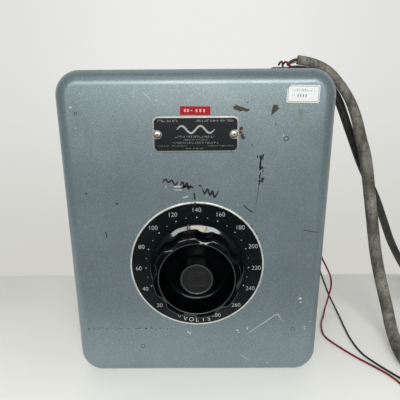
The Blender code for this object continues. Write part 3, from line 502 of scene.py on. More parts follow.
def metal(name, light, dark, rough, grain=(1.0, 1.0, 1.0), scale=500.0, metallic=1.0):
    """Bare or plated metal with its grain, stains and handling marks."""
    f = Finish(name)
    brushed = f.noise(scale, 3.0, 0.6, where=f.stretched(grain))
    stain = f.noise(45.0, 4.0, 0.65)
    colour = f.mix(f.span(brushed, 0.3, 0.7), srgb(*light), srgb(*dark))
    colour = f.mix(f.span(stain, 0.6, 0.8, 0.0, 0.45), colour, srgb(*[c * 0.6 for c in dark]))
    rough_map = f.span(f.math("ADD", brushed, stain), 0.6, 1.4, rough - 0.08, rough + 0.12)
    return f.done(colour, rough_map, metallic, f.bump(brushed, 0.00005, 0.4))


def board():
    """Brown laminated insulating board with a woven fleck."""
    f = Finish("insulation_board")
    weave = f.noise(900.0, 2.0, where=f.stretched((1.0, 0.15, 1.0)))
    cross = f.noise(900.0, 2.0, where=f.stretched((0.15, 1.0, 1.0)))
    fleck = f.math("MAXIMUM", weave, cross)
    colour = f.mix(f.span(fleck, 0.5, 0.7), srgb(98, 62, 38), srgb(126, 84, 52))
    return f.done(colour, f.span(fleck, 0.5, 0.7, 0.42, 0.6), 0.0, f.bump(fleck, 0.00005, 0.4))


def winding_wire():
    """Enamelled copper turns side by side, with darker patches; the track worn bright where the brush runs is
    not drawn.
    """
    f = Finish("copper_wire")
    x, _, z = f.axes(f.where)[:3]
    angle = f.math("ARCTAN2", f.math("SUBTRACT", z, AXIS_Z), x)
    turn = f.math("SINE", f.math("MULTIPLY", angle, 300.0))
    tone = f.noise(120.0, 3.0)
    colour = f.mix(f.span(turn, -1.0, 1.0), srgb(96, 48, 26), srgb(196, 122, 76))
    colour = f.mix(f.span(tone, 0.5, 0.8, 0.0, 0.5), colour, srgb(112, 70, 44))
    return f.done(colour, f.span(turn, -1.0, 1.0, 0.5, 0.3), 0.9, f.bump(turn, 0.0005, 0.6))


def core_finish():
    """The wound core's edge, where the strip's layers show as fine rings."""
    f = Finish("core_steel")
    x, _, z = f.axes(f.where)[:3]
    across = f.math("POWER", x, 2.0)
    up = f.math("POWER", f.math("SUBTRACT", z, AXIS_Z), 2.0)
    ring = f.math("SINE", f.math("MULTIPLY", f.math("SQRT", f.math("ADD", across, up)), 6000.0))
    rust = f.noise(80.0, 4.0)
    colour = f.mix(f.span(ring, -1.0, 1.0), srgb(70, 72, 76), srgb(104, 106, 110))
    colour = f.mix(f.span(rust, 0.58, 0.75, 0.0, 0.4), colour, srgb(92, 66, 48))
    return f.done(colour, 0.48, 0.8, f.bump(ring, 0.0001, 0.4))


def plain_rubber(name, light, dark, rough):
    """Dull moulded rubber or carbon with a pale bloom."""
    f = Finish(name)
    tone = f.noise(80.0, 4.0, 0.6)
    fine = f.noise(1300.0, 3.0, 0.6)
    colour = f.mix(f.span(tone, 0.3, 0.7), srgb(*light), srgb(*dark))
    colour = f.mix(f.span(fine, 0.6, 0.8, 0.0, 0.3), colour, srgb(*[c * 1.5 + 12 for c in light]))
    return f.done(colour, f.span(tone, 0.3, 0.7, rough - 0.06, rough + 0.08), 0.0, f.bump(fine, 0.00006, 0.4))


def stage_finish():
    """Pale table top, faintly lit from within where the picture shows it."""
    f = Finish("stage")
    haze = f.noise(3.0, 3.0)
    colour = f.mix(f.span(haze, 0.35, 0.65), srgb(228, 228, 225), srgb(233, 233, 230))
    rough = f.span(haze, 0.3, 0.7, 0.52, 0.62)
    normal = f.bump(f.noise(500.0), 0.00004, 0.3)
    glow = f.span(f.axes(f.where)[1], 0.10, -0.16, 0.0, 0.32)
    return f.done(colour, rough, 0.0, normal, Emission_Color=colour, Emission_Strength=glow)


PAINT = case_paint()
KNOB_BLACK = phenolic()
BOWL_BLACK = bowl_black()
BOSS_BLACK = boss_black()
DIAL_BLACK = dial_black()
BRIGHT = bright_rim()
DIAL_INK = mark_paint("dial_ink", (176, 186, 188), (104, 112, 114))
GREY_JACKET = jacket("grey_jacket", (134, 132, 123), (84, 82, 76), (42, 41, 37), 0.78)
BLACK_JACKET = jacket("black_jacket", (40, 42, 43), (24, 25, 26), (70, 70, 68), 0.5, 1.4)
RED_SLEEVE = jacket("red_insulation", (138, 26, 32), (92, 10, 18), (60, 10, 14), 0.42, 3.0)
BLACK_SLEEVE = jacket("black_insulation", (20, 20, 22), (12, 12, 14), (46, 46, 46), 0.4, 3.0)
WHITE_SLEEVE = jacket("white_insulation", (196, 192, 182), (160, 154, 142), (104, 98, 88), 0.55, 3.0)
RUBBER = plain_rubber("moulded_rubber", (26, 27, 28), (17, 18, 19), 0.55)
STEEL = metal("bare_steel", (176, 176, 172), (120, 120, 116), 0.34, (1.0, 0.1, 1.0))
PLATED = metal("plated_steel", (196, 192, 180), (140, 136, 124), 0.32)
BRASS = metal("brass", (206, 176, 112), (150, 118, 66), 0.32)
ALUMINIUM = metal("cast_aluminium", (172, 174, 176), (128, 130, 132), 0.5, scale=260.0)
RED_TAPE = mark_paint("red_tape", (164, 4, 28), (146, 4, 24), 0.45, 0.15)
PAPER = mark_paint("label_paper", (230, 234, 236), (204, 206, 202), 0.5, 0.3)
CARBON = plain_rubber("carbon", (34, 34, 35), (20, 20, 21), 0.7)
BOARD = board()

CAD_FINISH = {
    "hammer_paint": PAINT,
    "bare_steel": STEEL,
    "plated_steel": PLATED,
    "aluminium": ALUMINIUM,
    "copper": winding_wire(),
    "brass": BRASS,
    "black_enamel": DIAL_BLACK,
    "phenolic": KNOB_BLACK,
    "board_brown": BOARD,
    "core_steel": core_finish(),
    "carbon": CARBON,
    "bright_metal": BRIGHT,
    "black_rubber": RUBBER,
    "red_sleeve": RED_SLEEVE,
    "white_sleeve": WHITE_SLEEVE,
    "grey_rubber": GREY_JACKET,
    "red_tape": RED_TAPE,
    "paper_label": PAPER,
}
for node in NODES.values():
    for index, old in enumerate(node.data.materials):
        found = CAD_FINISH.get(old.name.split(".")[0]) if old else None
        if found:
            node.data.materials[index] = found


# ------------------------------------------------------------------ camera


LENS, SENSOR = 33.42, 36.0
CAMERA_PLACE = (0.00635, -0.5360, 0.3697)
PITCH, YAW, ROLL = 0.2717, -0.0047, -0.0073


def make_camera():
    data = bpy.data.cameras.new("camera")
    data.lens = LENS
    data.sensor_width = SENSOR
    camera = link("camera", data)
    forward = Vector((sin(YAW) * cos(PITCH), cos(YAW) * cos(PITCH), -sin(PITCH)))
    right = Vector((cos(YAW), -sin(YAW), 0.0))
    up = right.cross(forward)
    right_rolled = cos(ROLL) * right + sin(ROLL) * up
    up_rolled = -sin(ROLL) * right + cos(ROLL) * up
    turn = Matrix((right_rolled, up_rolled, -forward)).transposed()
    camera.matrix_world = Matrix.Translation(CAMERA_PLACE) @ turn.to_4x4()
    bpy.context.scene.camera = camera


make_camera()


# ------------------------------------------------------------------- cords


COIL_SWEEP = radians(515.0)
COIL_POINTS = 34
CLIMB_FROM, CLIMB_OVER = radians(265.0), radians(85.0)
RISE_FROM = radians(440.0)


def ease(value):
    value = min(1.0, max(0.0, value))
    return value * value * (3 - 2 * value)


def put_away(route, radius, centre, reach, sense, lead_in, rise, rise_over, fitting):
    """A cord's route, then its coil and the rise into the fitting on its end.

    The coil climbs onto its own first turn. It turns anticlockwise where sense is 1 and
    clockwise where it is -1.
    """
    low = radius + GAP
    points = [*route, (centre[0] - lead_in[0], centre[1] - sense * (reach - lead_in[1]), low)]
    for index in range(1, COIL_POINTS + 1):
        turned_by = COIL_SWEEP * index / COIL_POINTS
        angle = sense * (turned_by - pi / 2)
        climb = ease((turned_by - CLIMB_FROM) / CLIMB_OVER)
        last = ease((turned_by - RISE_FROM) / radians(rise_over))
        height = low + 2 * radius * climb + rise * last
        points.append((centre[0] + reach * cos(angle), centre[1] + reach * sin(angle), height))
    fitting_low, fitting_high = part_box(fitting)
    middle = (fitting_low + fitting_high) / 2
    return [*points, (fitting_high.x - 0.004, middle.y, middle.z)]


def make_cords():
    supply_coil = (SUPPLY_COIL, SUPPLY_COIL_RADIUS, 1, (0.045, 0.004), 0.0283, 75.0, "supply_plug")
    supply_line = smooth_route(put_away(SUPPLY_ROUTE, SUPPLY_RADIUS, *supply_coil), 0.004)
    load_coil = (LOAD_COIL, LOAD_COIL_RADIUS, -1, (0.028, 0.002), 0.0224, 80.0, "load_connector")
    load_line = smooth_route(put_away(LOAD_ROUTE, LOAD_RADIUS, *load_coil), 0.0035)
    narrow = 0.72

    def taper(index):
        """The cut end is thinner, and the jacket reaches its full thickness further on."""
        return narrow + (1 - narrow) * ease((index * 0.004 - 0.05) / 0.16)

    supply = cable("supply_cord", supply_line, SUPPLY_RADIUS, GREY_JACKET, "grey_jacket", 7, taper)
    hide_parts("supply_cable", "supply_coil")
    load = cable("load_cord", load_line, LOAD_RADIUS, BLACK_JACKET, "black_jacket", 6)
    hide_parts("load_cable", "load_coil")
    inner_black = smooth_route(CONDUCTOR_BLACK, 0.001)
    inner_white = smooth_route(CONDUCTOR_WHITE, 0.001)
    dark = cable("jacket_core_black", inner_black, 0.0020, BLACK_SLEEVE, "black_jacket", 4)
    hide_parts("conductor_black")
    pale = cable("jacket_core_white", inner_white, 0.0012, WHITE_SLEEVE, "white_insulation", 4)
    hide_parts("conductor_white")
    for colour, route, finish, slot in (
        ("red", RED_ROUTE, RED_SLEEVE, "red_insulation"),
        ("black", BLACK_ROUTE, BLACK_SLEEVE, "black_jacket"),
    ):
        line = smooth_route(route, 0.003)
        lead = cable(f"{colour}_thin_lead", line, LEAD_RADIUS, finish, slot, 3)
        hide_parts(f"{colour}_lead")
        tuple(route[0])


make_cords()


# -------------------------------------------------------- stage and lights


def make_stage():
    floor = mesh_from(
        "floor",
        [(-2.2, -0.235, 0.0), (2.2, -0.235, 0.0), (2.2, 0.19, 0.0), (-2.2, 0.19, 0.0)],
        [(0, 1, 2, 3)],
        tidy=False,
    )
    floor.materials.append(stage_finish())
    link("floor", floor)


def make_world():
    """A pale wall behind the object and a dimmer room in front of it."""
    world = bpy.data.worlds.new("room")
    bpy.context.scene.world = world
    world.use_nodes = True
    n = Nodes(world.node_tree)
    back = n.tree.nodes["Background"]

    def rise(value, low, high):
        return n.span(value, low, high, interpolation_type="SMOOTHSTEP")

    x, y, z = n.axes(n.add("TexCoord").outputs["Generated"])
    across = n.math("ABSOLUTE", x)
    high_wall = n.mix(rise(across, 0.1, 0.5), srgb(236, 237, 235), srgb(224, 225, 222))
    wall = n.mix(rise(z, -0.45, 0.10), srgb(207, 207, 200), high_wall)
    low_room = n.mix(rise(z, -0.35, 0.05), srgb(30, 32, 34), srgb(140, 145, 148))
    high_room = n.mix(rise(z, 0.2, 0.8), low_room, srgb(58, 62, 64))
    room = n.mix(rise(across, 0.45, 0.85), high_room, srgb(62, 66, 70))
    n.put(back.inputs["Color"], n.mix(rise(y, -0.1, 0.35), room, wall))
    back.inputs["Strength"].default_value = 1.0


def area_light(name, place, target, size, power, colour):
    data = bpy.data.lights.new(name, "AREA")
    data.shape = "RECTANGLE"
    data.size, data.size_y = size
    data.energy = power
    data.color = colour
    lamp = link(name, data)
    lamp.location = place
    aim = Vector(target) - Vector(place)
    lamp.rotation_mode = "QUATERNION"
    lamp.rotation_quaternion = aim.to_track_quat("-Z", "Y")
    return lamp


def make_lights():
    area_light("key", (-0.3, -1.2, 1.9), (0, 0, 0.2), (1.2, 0.6), 3.0, (1.0, 0.985, 0.96))
    area_light("card", (0.02, -1.9, 0.92), (0, 0, 0.20), (0.56, 0.66), 16.5, (1.0, 0.93, 0.78))
    area_light("window_right", (0.56, -1.85, 0.90), (0, 0, 0.20), (0.46, 0.60), 11.5, (0.95, 0.98, 1.0))
    area_light("window_left", (-0.66, -1.85, 0.88), (0, 0, 0.20), (0.56, 0.60), 10.0, (0.95, 0.98, 1.0))


bpy.context.scene.view_settings.view_transform = "Standard"
make_stage()
make_world()
make_lights()


# -------------------------------------------------------------------- case


VENT_LENGTH = 0.034
VENT_HEIGHT = 0.004
VENT_Y = (0.000, 0.046)
VENT_Z = [z + 0.016 * row for z in (0.066, 0.272) for row in range(5)]


COVER_STEPS = 14
SCREW_HOLE = 0.0026
SHAFT_HOLE = 0.018
BUSHING_HOLE = 0.0118


def cover_rings():
    """The cover's outer skin from its front to its rim, then its inner skin back again."""
    rim = FRONT_Y - RIM_Y
    half_height = HEIGHT / 2

    def ring(shrink, radius, station):
        return at(station, rounded_outline(HALF_WIDTH - shrink, half_height - shrink, radius, COVER_STEPS))

    rings = []
    for inset in (0.0, WALL):
        edge = FRONT_FILLET - inset
        layer = []
        for step in range(COVER_STEPS + 1):
            angle = step / COVER_STEPS * pi / 2
            shrink = inset + edge * (1 - sin(angle))
            layer.append(ring(shrink, max(CORNER_RADIUS - shrink, 0.001), -inset - edge * (1 - cos(angle))))
        if inset:
            layer.append(ring(inset, CORNER_RADIUS - inset, rim))
            layer.reverse()
        else:
            layer.append(ring(0.0, CORNER_RADIUS, rim + 0.0005))
            layer.append(ring(0.0005, CORNER_RADIUS - 0.0005, rim))
        rings += layer
    return rings


def hole_cutter(radius, place, segments):
    return moved(turned("cutter", [(radius, -0.01), (radius, 0.01)], segments), place)


def make_cover():
    """The drawn cover with smooth rounded edges, its holes and its vent slots."""
    mesh = moved(loft("case_cover", cover_rings()), on_panel(0.0, HEIGHT / 2))
    cutters = [hole_cutter(SHAFT_HOLE, on_axis(), 64)]
    for number in range(1, 5):
        middle = middle_of(f"cover_screw_{number}")
        side = HALF_WIDTH if middle.x > 0 else -HALF_WIDTH
        place = Matrix.Translation((side, middle.y, middle.z)) @ Matrix.Rotation(pi / 2, 4, "Y")
        cutters.append(hole_cutter(SCREW_HOLE, place, 24))
    for side in (-HALF_WIDTH, HALF_WIDTH):
        for y in VENT_Y:
            for z in VENT_Z:
                centre = (side, y + VENT_LENGTH / 2, z)
                cutters.append(box_mesh("cutter", (0.02, VENT_LENGTH, VENT_HEIGHT), centre))
    middle = middle_of("cable_bushing")
    cutters.append(hole_cutter(BUSHING_HOLE, Matrix.Translation((middle.x, middle.y, HEIGHT)), 48))
    made = cut(mesh, cutters)
    cover = mesh_piece("case_cover", made, [PAINT])
    even_shading(cover)
    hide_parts("front_cover")


make_cover()


# ----------------------------------------------------------- dial and knob


HALF_DEPTH = 0.01
INK_DEPTH = 0.00006
DIAL_THICKNESS = 0.0015
DIAL_MARKS = 29
SCALE_START = -161.0
SCALE_STEP = 11.5
BIG_DOT, SMALL_DOT = 0.00078, 0.00050
DOT_CIRCLE = 0.0649
NUMBER_CIRCLE, NUMBER_HEIGHT = 0.0743, 0.0054
LETTER_CIRCLE, LETTER_HEIGHT = 0.0768, 0.0060


def text_mesh(words, height, thickness, weight):
    """Flat lettering centred on the origin, its digits as tall as height."""
    data = bpy.data.curves.new("words", "FONT")
    data.body = words
    data.resolution_u = 4
    data.offset = weight
    data.extrude = HALF_DEPTH
    letters = link("words", data)
    depsgraph = bpy.context.evaluated_depsgraph_get()
    mesh = bpy.data.meshes.new_from_object(letters.evaluated_get(depsgraph))
    bpy.data.objects.remove(letters)
    xs = [v.co.x for v in mesh.vertices]
    ys = [v.co.y for v in mesh.vertices]
    scale = height / (max(ys) - min(ys))
    to_centre = Matrix.Translation((-(max(xs) + min(xs)) / 2, -(max(ys) + min(ys)) / 2, 0.0))
    return moved(mesh, Matrix.Diagonal((scale, scale, thickness / (2 * HALF_DEPTH), 1.0)) @ to_centre)


def make_dial():
    """The enamelled dial with its bare rim, numbers and dots."""
    top = GAP + DIAL_THICKNESS
    edge = DIAL_RADIUS
    profile = [
        (0.018, GAP),
        (edge - 0.0003, GAP),
        (edge, GAP + 0.0003),
        (edge, top - 0.0006),
        (edge - 0.0002, top - 0.0002),
        (edge - 0.0007, top),
        (edge - 0.0022, top),
        (edge - 0.0024, top - 0.00012),
        (0.0190, top - 0.00012),
        (0.018, top - 0.0006),
    ]
    mesh = turned("dial_face", profile, 160, tube=True)
    for face in mesh.polygons:
        reach = hypot(*face.center.xy)
        on_top = face.normal.z > 0.5
        face.material_index = 0 if reach < edge - 0.0023 and on_top else 1
    face = mesh_piece("dial_face", mesh, [DIAL_BLACK, BRIGHT], on_axis())
    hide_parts("dial_plate")
    marks = []
    level = top - 0.00008
    for step in range(DIAL_MARKS):
        angle = radians(SCALE_START + SCALE_STEP * step)
        volts = step * 10
        numbered = volts % 20 == 0
        size = BIG_DOT if numbered else SMALL_DOT
        dot = turned("dot", [(size, -INK_DEPTH / 2), (size, INK_DEPTH / 2)], 14)
        place = (DOT_CIRCLE * sin(angle) + 0.0003, DOT_CIRCLE * cos(angle), level)
        marks.append(moved(dot, Matrix.Translation(place)))
        if numbered:
            number = text_mesh(str(volts), NUMBER_HEIGHT, INK_DEPTH, -0.012)
            place = (NUMBER_CIRCLE * sin(angle) + 0.0005, NUMBER_CIRCLE * cos(angle), level)
            marks.append(moved(number, Matrix.Translation(place)))
    for letter, degrees in zip("VOLTS", (192.0, 186.0, 180.0, 174.3, 168.8)):
        angle = radians(degrees)
        place = Matrix.Translation((LETTER_CIRCLE * sin(angle), LETTER_CIRCLE * cos(angle), level))
        shape = text_mesh(letter, LETTER_HEIGHT, INK_DEPTH, 0.004)
        marks.append(moved(shape, place @ Matrix.Rotation(pi - angle, 4, "Z")))
    joined_piece("dial_marks", marks, DIAL_INK, on_axis())


SCALLOPS = 8
SCALLOP_DEPTH = 0.0039
SCALLOP_WIDTH = 0.25
SCALLOP_TURN = radians(10.0)
POINTER_TURN = radians(-10.0)
SKIRT_SLOPE = 0.36
SKIRT_TOP = 12.5

# Where the knob's finishes meet: radii, and the stations that each lies above.
BOSS_EDGE, BOSS_LEVEL = 0.0174, 0.030
BOWL_START, BOWL_END, BOWL_LEVEL = 0.0193, 0.0439, 0.014
# The rim band and the boss's top edge take the lighter edge finish: partly wear, partly a painted highlight.
RIM_START, RIM_END, RIM_LEVEL = 0.0444, 0.0455, 0.0374


def scallop(angle):
    """How far the grip's edge is drawn in at an angle, before the knob is turned."""
    around = (angle - pi / 2) * SCALLOPS / tau
    off_centre = (around + 0.5) % 1.0 - 0.5
    return SCALLOP_DEPTH * max(0.0, 1.0 - (off_centre / SCALLOP_WIDTH) ** 2)


# The knob's section: radius and station in millimetres, and how deep the hollows are there.
KNOB_PROFILE = [
    (12.1, 24.0, 0), (12.1, 4.9, 0), (12.6, 4.6, 0), (40.0, 5.0, 0), (55.6, 5.5, 0),
    (57.6, 5.9, 0), (58.5, 6.6, 0), (58.9, 7.3, 0), (58.9, 7.8, 0), (58.7, 8.35, 0),
    (58.3, 8.85, 0), (57.0, 9.5, 0), (55.6, 10.02, 0), (54.4, 10.45, 0), (53.6, 10.75, 0.2),
    (53.0, 11.0, 0.7), (52.7, 11.45, 0.95), (52.6, 12.0, 1), (52.5, 20.0, 1), (52.4, 30.0, 1),
    (52.3, 36.0, 1), (52.2, 36.8, 1), (51.9, 37.4, 1), (51.4, 37.8, 0.99), (50.7, 38.05, 0.96),
    (49.5, 38.25, 0.8), (48.0, 38.45, 0.5), (46.5, 38.6, 0.2), (45.6, 38.75, 0), (45.2, 38.8, 0),
    (44.7, 38.75, 0), (44.3, 38.5, 0), (44.0, 38.0, 0), (43.7, 36.5, 0), (43.3, 33.5, 0),
    (42.8, 30.0, 0), (42.0, 26.0, 0), (40.9, 22.6, 0), (39.4, 19.6, 0), (37.6, 17.4, 0),
    (35.4, 16.1, 0), (33.0, 15.6, 0), (28.0, 15.5, 0), (22.4, 15.5, 0), (21.7, 15.7, 0),
    (21.2, 16.5, 0), (20.9, 17.8, 0), (20.6, 21.5, 0), (20.2, 27.0, 0), (19.9, 33.0, 0),
    (19.75, 36.2, 0), (19.6, 37.2, 0), (19.2, 37.8, 0), (18.6, 38.0, 0), (18.0, 37.9, 0),
    (17.6, 37.6, 0), (17.3, 37.3, 0),
]


def square_ring(half, width, low, high):
    """A raised square line; half is half of its outer size."""
    profile = ((half - width, low), (half, low), (half, high), (half - width, high))
    rings = [[(x, x, s), (-x, x, s), (-x, -x, s), (x, -x, s)] for x, s in profile]
    return loft("square_ring", rings, wrap=True)


def knob_zone(reach, station):
    """Which of the knob's finishes a face has: moulding, boss, bowl, or the lighter band on the rim and the
    boss's top edge, which is partly wear and partly a painted highlight.
    """
    if reach < BOSS_EDGE and station > BOSS_LEVEL:
        return 1
    if BOWL_START < reach < BOWL_END and station > BOWL_LEVEL:
        return 2
    return 3 if station > RIM_LEVEL and (reach < BOWL_START or RIM_START < reach < RIM_END) else 0


def make_knob():
    segments = SCALLOPS * 32
    rings = []
    for radius, station, share in KNOB_PROFILE:
        lobe = (lambda angle, share=share: share * scallop(angle)) if share else None
        ring = circle(radius * MM, station * MM, segments, lobe)
        if share and station < SKIRT_TOP:
            ring = [(x, y, s + SKIRT_SLOPE * share * scallop(atan2(y, x))) for x, y, s in ring]
        rings.append(ring)
    mesh = loft("knob_body", rings)
    for face in mesh.polygons:
        face.material_index = knob_zone(hypot(*face.center.xy), face.center.z)
    finishes = [KNOB_BLACK, BOSS_BLACK, BOWL_BLACK, WORN_EDGE_AND_HIGHLIGHT]
    knob = mesh_piece("knob_body", mesh, finishes, on_axis(SCALLOP_TURN), "rotor", 30.0)
    even_shading(knob)
    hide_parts("knob")
    lines = [square_ring(half * MM, 0.0005, 0.0371, 0.03745) for half in (9.4, 7.6, 4.6)]
    joined_piece("boss_lines", lines, BOSS_LINE, on_axis(), "rotor")
    line = [(radius * MM, (station + 0.05) * MM) for radius, station, _ in KNOB_PROFILE[13:9:-1]]
    outline = [(-0.00035, r, s) for r, s in line] + [(0.00035, r, s) for r, s in reversed(line)]
    low = [(x, y, s - 0.0001) for x, y, s in outline]
    index_line = loft("index_line", [low, outline])
    mesh_piece("index_line", index_line, [INDEX_PAINT], on_axis(POINTER_TURN), "rotor")


def make_spring():
    """The brush spring, built as a fixed helix of wire; on the real thing it shortens as the brush moves
    back.
    """
    low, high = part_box("brush_spring")
    middle = (low + high) / 2
    wire, turns, per_turn = 0.0004, 5, 24
    radius = (high.x - low.x) / 2 - wire
    length = high.y - low.y - 2 * wire
    rings = []
    for step in range(turns * per_turn + 1):
        turn = tau * step / per_turn
        outward = Vector((cos(turn), 0.0, sin(turn)))
        centre = middle + outward * radius
        centre.y = low.y + wire + length * step / (turns * per_turn)
        around = [tau * k / 8 for k in range(8)]
        rings.append([centre + wire * (cos(a) * outward + sin(a) * Vector((0, 1, 0))) for a in around])
    spring = mesh_piece("spring_wire", loft("spring_wire", rings), [STEEL], body="rotor")
    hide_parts("brush_spring")
    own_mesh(spring)


# Lighter grey for the knob's rim and boss edges: partly wear, partly a painted highlight where those edges
# catch the light.
WORN_EDGE_AND_HIGHLIGHT = mark_paint("worn_edge_and_highlight", (58, 62, 62), (18, 20, 20), 0.3, 0.5)
BOSS_LINE = mark_paint("boss_line", (44, 48, 48), (28, 30, 30), 0.4, 0.4)
INDEX_PAINT = mark_paint("index_paint", (150, 138, 112), (92, 82, 62))
make_dial()
make_knob()
make_spring()

# ------------------------------------------------------ nameplate and labels


MARK_LOW = -0.00015
MARK_HIGH = 0.00004


def seat(node, turn=0.0):
    """Where a thin part sits on the panel, and how far its front stands out from it."""
    middle = middle_of(node)
    return on_panel(middle.x, middle.z, turn), FRONT_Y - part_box(node)[0].y


def mark_row(rng, start, end, level, height, low, high):
    """Small dashes in word-like groups, in millimetres, standing for a row of print."""
    shapes = []
    x = start
    while x < end:
        for _ in range(rng.randint(3, 8)):
            if x > end:
                break
            kind = rng.random()
            if kind < 0.5:
                wide, tall, lift = 0.17, 1.0, 0.0
            elif kind < 0.75:
                wide, tall, lift = 0.45, 0.18, rng.choice((-0.4, 0.0, 0.4))
            else:
                wide, tall, lift = 0.18, 0.5, rng.choice((-0.25, 0.25))
            centre = (x * MM, (level + lift * height) * MM, (low + high) / 2)
            shapes.append(box_mesh("dash", (wide * height * MM, tall * height * MM, high - low), centre))
            x += 0.62 * height
        x += 0.55 * height
    return shapes


def stroke(points, width, low=MARK_LOW, high=MARK_HIGH):
    """A flat painted line through points given in millimetres, narrowing at its ends."""
    path = smooth_route([(x * MM, z * MM, 0.0) for x, z in points], 0.0006)
    last = len(path) - 1
    rings = []
    for index, point in enumerate(path):
        ahead = path[min(index + 1, last)] - path[max(index - 1, 0)]
        share = min(1.0, 0.4 + 4 * min(index, last - index) / last)
        side = Vector((-ahead.y, ahead.x, 0.0)).normalized() * (width * MM / 2 * share)
        under, over = Vector((0, 0, low)), Vector((0, 0, high))
        rings.append([point - side + under, point + side + under, point + side + over, point - side + over])
    return loft("stroke", rings)


def patch(outline):
    return prism("patch", [(x * MM, z * MM) for x, z in outline], MARK_LOW, MARK_HIGH)


def blob(rng, x, z, wide, tall, points=9):
    outline = []
    for step in range(points):
        angle = tau * step / points
        reach = rng.uniform(0.6, 1.1) / 2
        outline.append((x + wide * reach * cos(angle), z + tall * reach * sin(angle)))
    return patch(outline)


def hoop(x, z, outer, inner):
    section = ((inner, MARK_LOW), (outer, MARK_LOW), (outer, MARK_HIGH), (inner, MARK_HIGH))
    ring = turned("hoop", [(radius * MM, station) for radius, station in section], 24, tube=True)
    return moved(ring, Matrix.Translation((x * MM, z * MM, 0.0)))


def field_outline(half_width, half_height, corner, notch_x, notch):
    """A rounded rectangle with a round bay at each end for the rivets."""
    quarter = [step / 8 * pi / 2 for step in range(9)]
    half = [step / 14 * pi for step in range(15)]
    across, up = half_width - corner, half_height - corner
    points = [(across + corner * cos(a), up + corner * sin(a)) for a in quarter]
    points += [(-across - corner * sin(a), up + corner * cos(a)) for a in quarter]
    points.append((-half_width, notch))
    points += [(-notch_x + notch * sin(a), notch * cos(a)) for a in half]
    points.append((-half_width, -notch))
    points += [(-across - corner * cos(a), -up - corner * sin(a)) for a in quarter]
    points += [(across + corner * sin(a), -up - corner * cos(a)) for a in quarter]
    points.append((half_width, -notch))
    points += [(notch_x - notch * sin(a), -notch * cos(a)) for a in half]
    points.append((half_width, notch))
    return points


# Rows of print: start, end, height on the plate and size of print, in millimetres.
NAMEPLATE_ROWS = [
    (-43, -20, 15.4, 2.3), (0.5, 43, 15.4, 2.3), (-23, 23, -2.6, 2.3), (-14, 14, -6.0, 1.4),
    (-26, 26, -9.5, 1.7), (-44, -31, -13.0, 1.3), (-27, -10, -13.0, 1.3), (14, 44, -13.0, 1.3),
    (-11, 10, -16.0, 1.4),
]
# The plate's black field: half its width and height, its corners, and its bays' place and radius.
NAMEPLATE_FIELD = (0.0477, 0.0186, 0.0050, 0.0440, 0.0050)


def make_nameplate():
    low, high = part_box("nameplate")
    place, front = seat("nameplate")
    half_width, half_height = (high.x - low.x) / 2, (high.z - low.z) / 2
    rings = []
    for inset, station in ((0.0, GAP), (0.0, front - 0.0003), (0.0001, front - 0.0001), (0.0004, front)):
        outline = rounded_outline(half_width - inset, half_height - inset, 0.007 - inset, 8)
        rings.append(at(station, outline))
    base = loft("nameplate_base", rings)
    plate = mesh_piece("nameplate_base", base, [PLATE_METAL], place)
    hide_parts("nameplate")
    outline = field_outline(*NAMEPLATE_FIELD)
    field = prism("nameplate_field", outline, front - 0.0002, front + 0.00005)
    mesh_piece("nameplate_field", field, [PLATE_BLACK], place)
    rng = random.Random(41)
    under, over = front - 0.0001, front + 0.0001
    marks = []
    for row in NAMEPLATE_ROWS:
        marks += mark_row(rng, *row, under, over)
    wave = [(-21.5 + 0.5 * k, 5.6 + 4.0 * sin(k * 0.5 * tau / 21.5)) for k in range(87)]
    marks.append(stroke(wave, 2.2, under, over))
    joined_piece("nameplate_marks", marks, PLATE_INK, place)


def make_rivets():
    profile = [
        (0.0017, -0.0045), (0.0017, 0.0), (0.0041, 0.0), (0.0043, 0.0003), (0.0041, 0.0008),
        (0.0034, 0.0012), (0.0024, 0.00145), (0.0012, 0.0015), (0.0009, 0.0013), (0.0008, 0.0004),
    ]
    for side in ("left", "right"):
        node = f"nameplate_rivet_{side}"
        mesh = turned(f"rivet_{side}", profile, 36)
        for face in mesh.polygons:
            face.material_index = int(hypot(*face.center.xy) < 0.0010 and face.center.z > 0.0003)
        place, front = seat(node)
        place @= Matrix.Translation((0.0, 0.0, front - 0.0015))
        rivet = mesh_piece(f"rivet_{side}", mesh, [RIVET_METAL, DARK_MARK], place)
        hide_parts(node)


def make_tape():
    place, front = seat("tape_label", radians(-0.8))
    outline = rounded_outline(0.01715, 0.0047, 0.0004, 3)
    inner = rounded_outline(0.01703, 0.00458, 0.0003, 3)
    rings = [at(GAP, outline), at(front - 0.00012, outline), at(front, inner)]
    tape = mesh_piece("tape_strip", loft("tape_strip", rings), [RED_TAPE], place)
    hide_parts("tape_label")
    under, over = front - 0.0001, front + 0.00012
    blocks = []
    for x, tall in ((-11.6, 3.4), (-8.2, 3.4), (-4.0, 0.9), (1.6, 3.4), (5.8, 3.4), (10.0, 3.4)):
        size = (0.0019, tall * MM, over - under)
        blocks.append(box_mesh("block", size, (x * MM, 0.0, (under + over) / 2)))
    joined_piece("tape_marks", blocks, TAPE_WHITE, place)


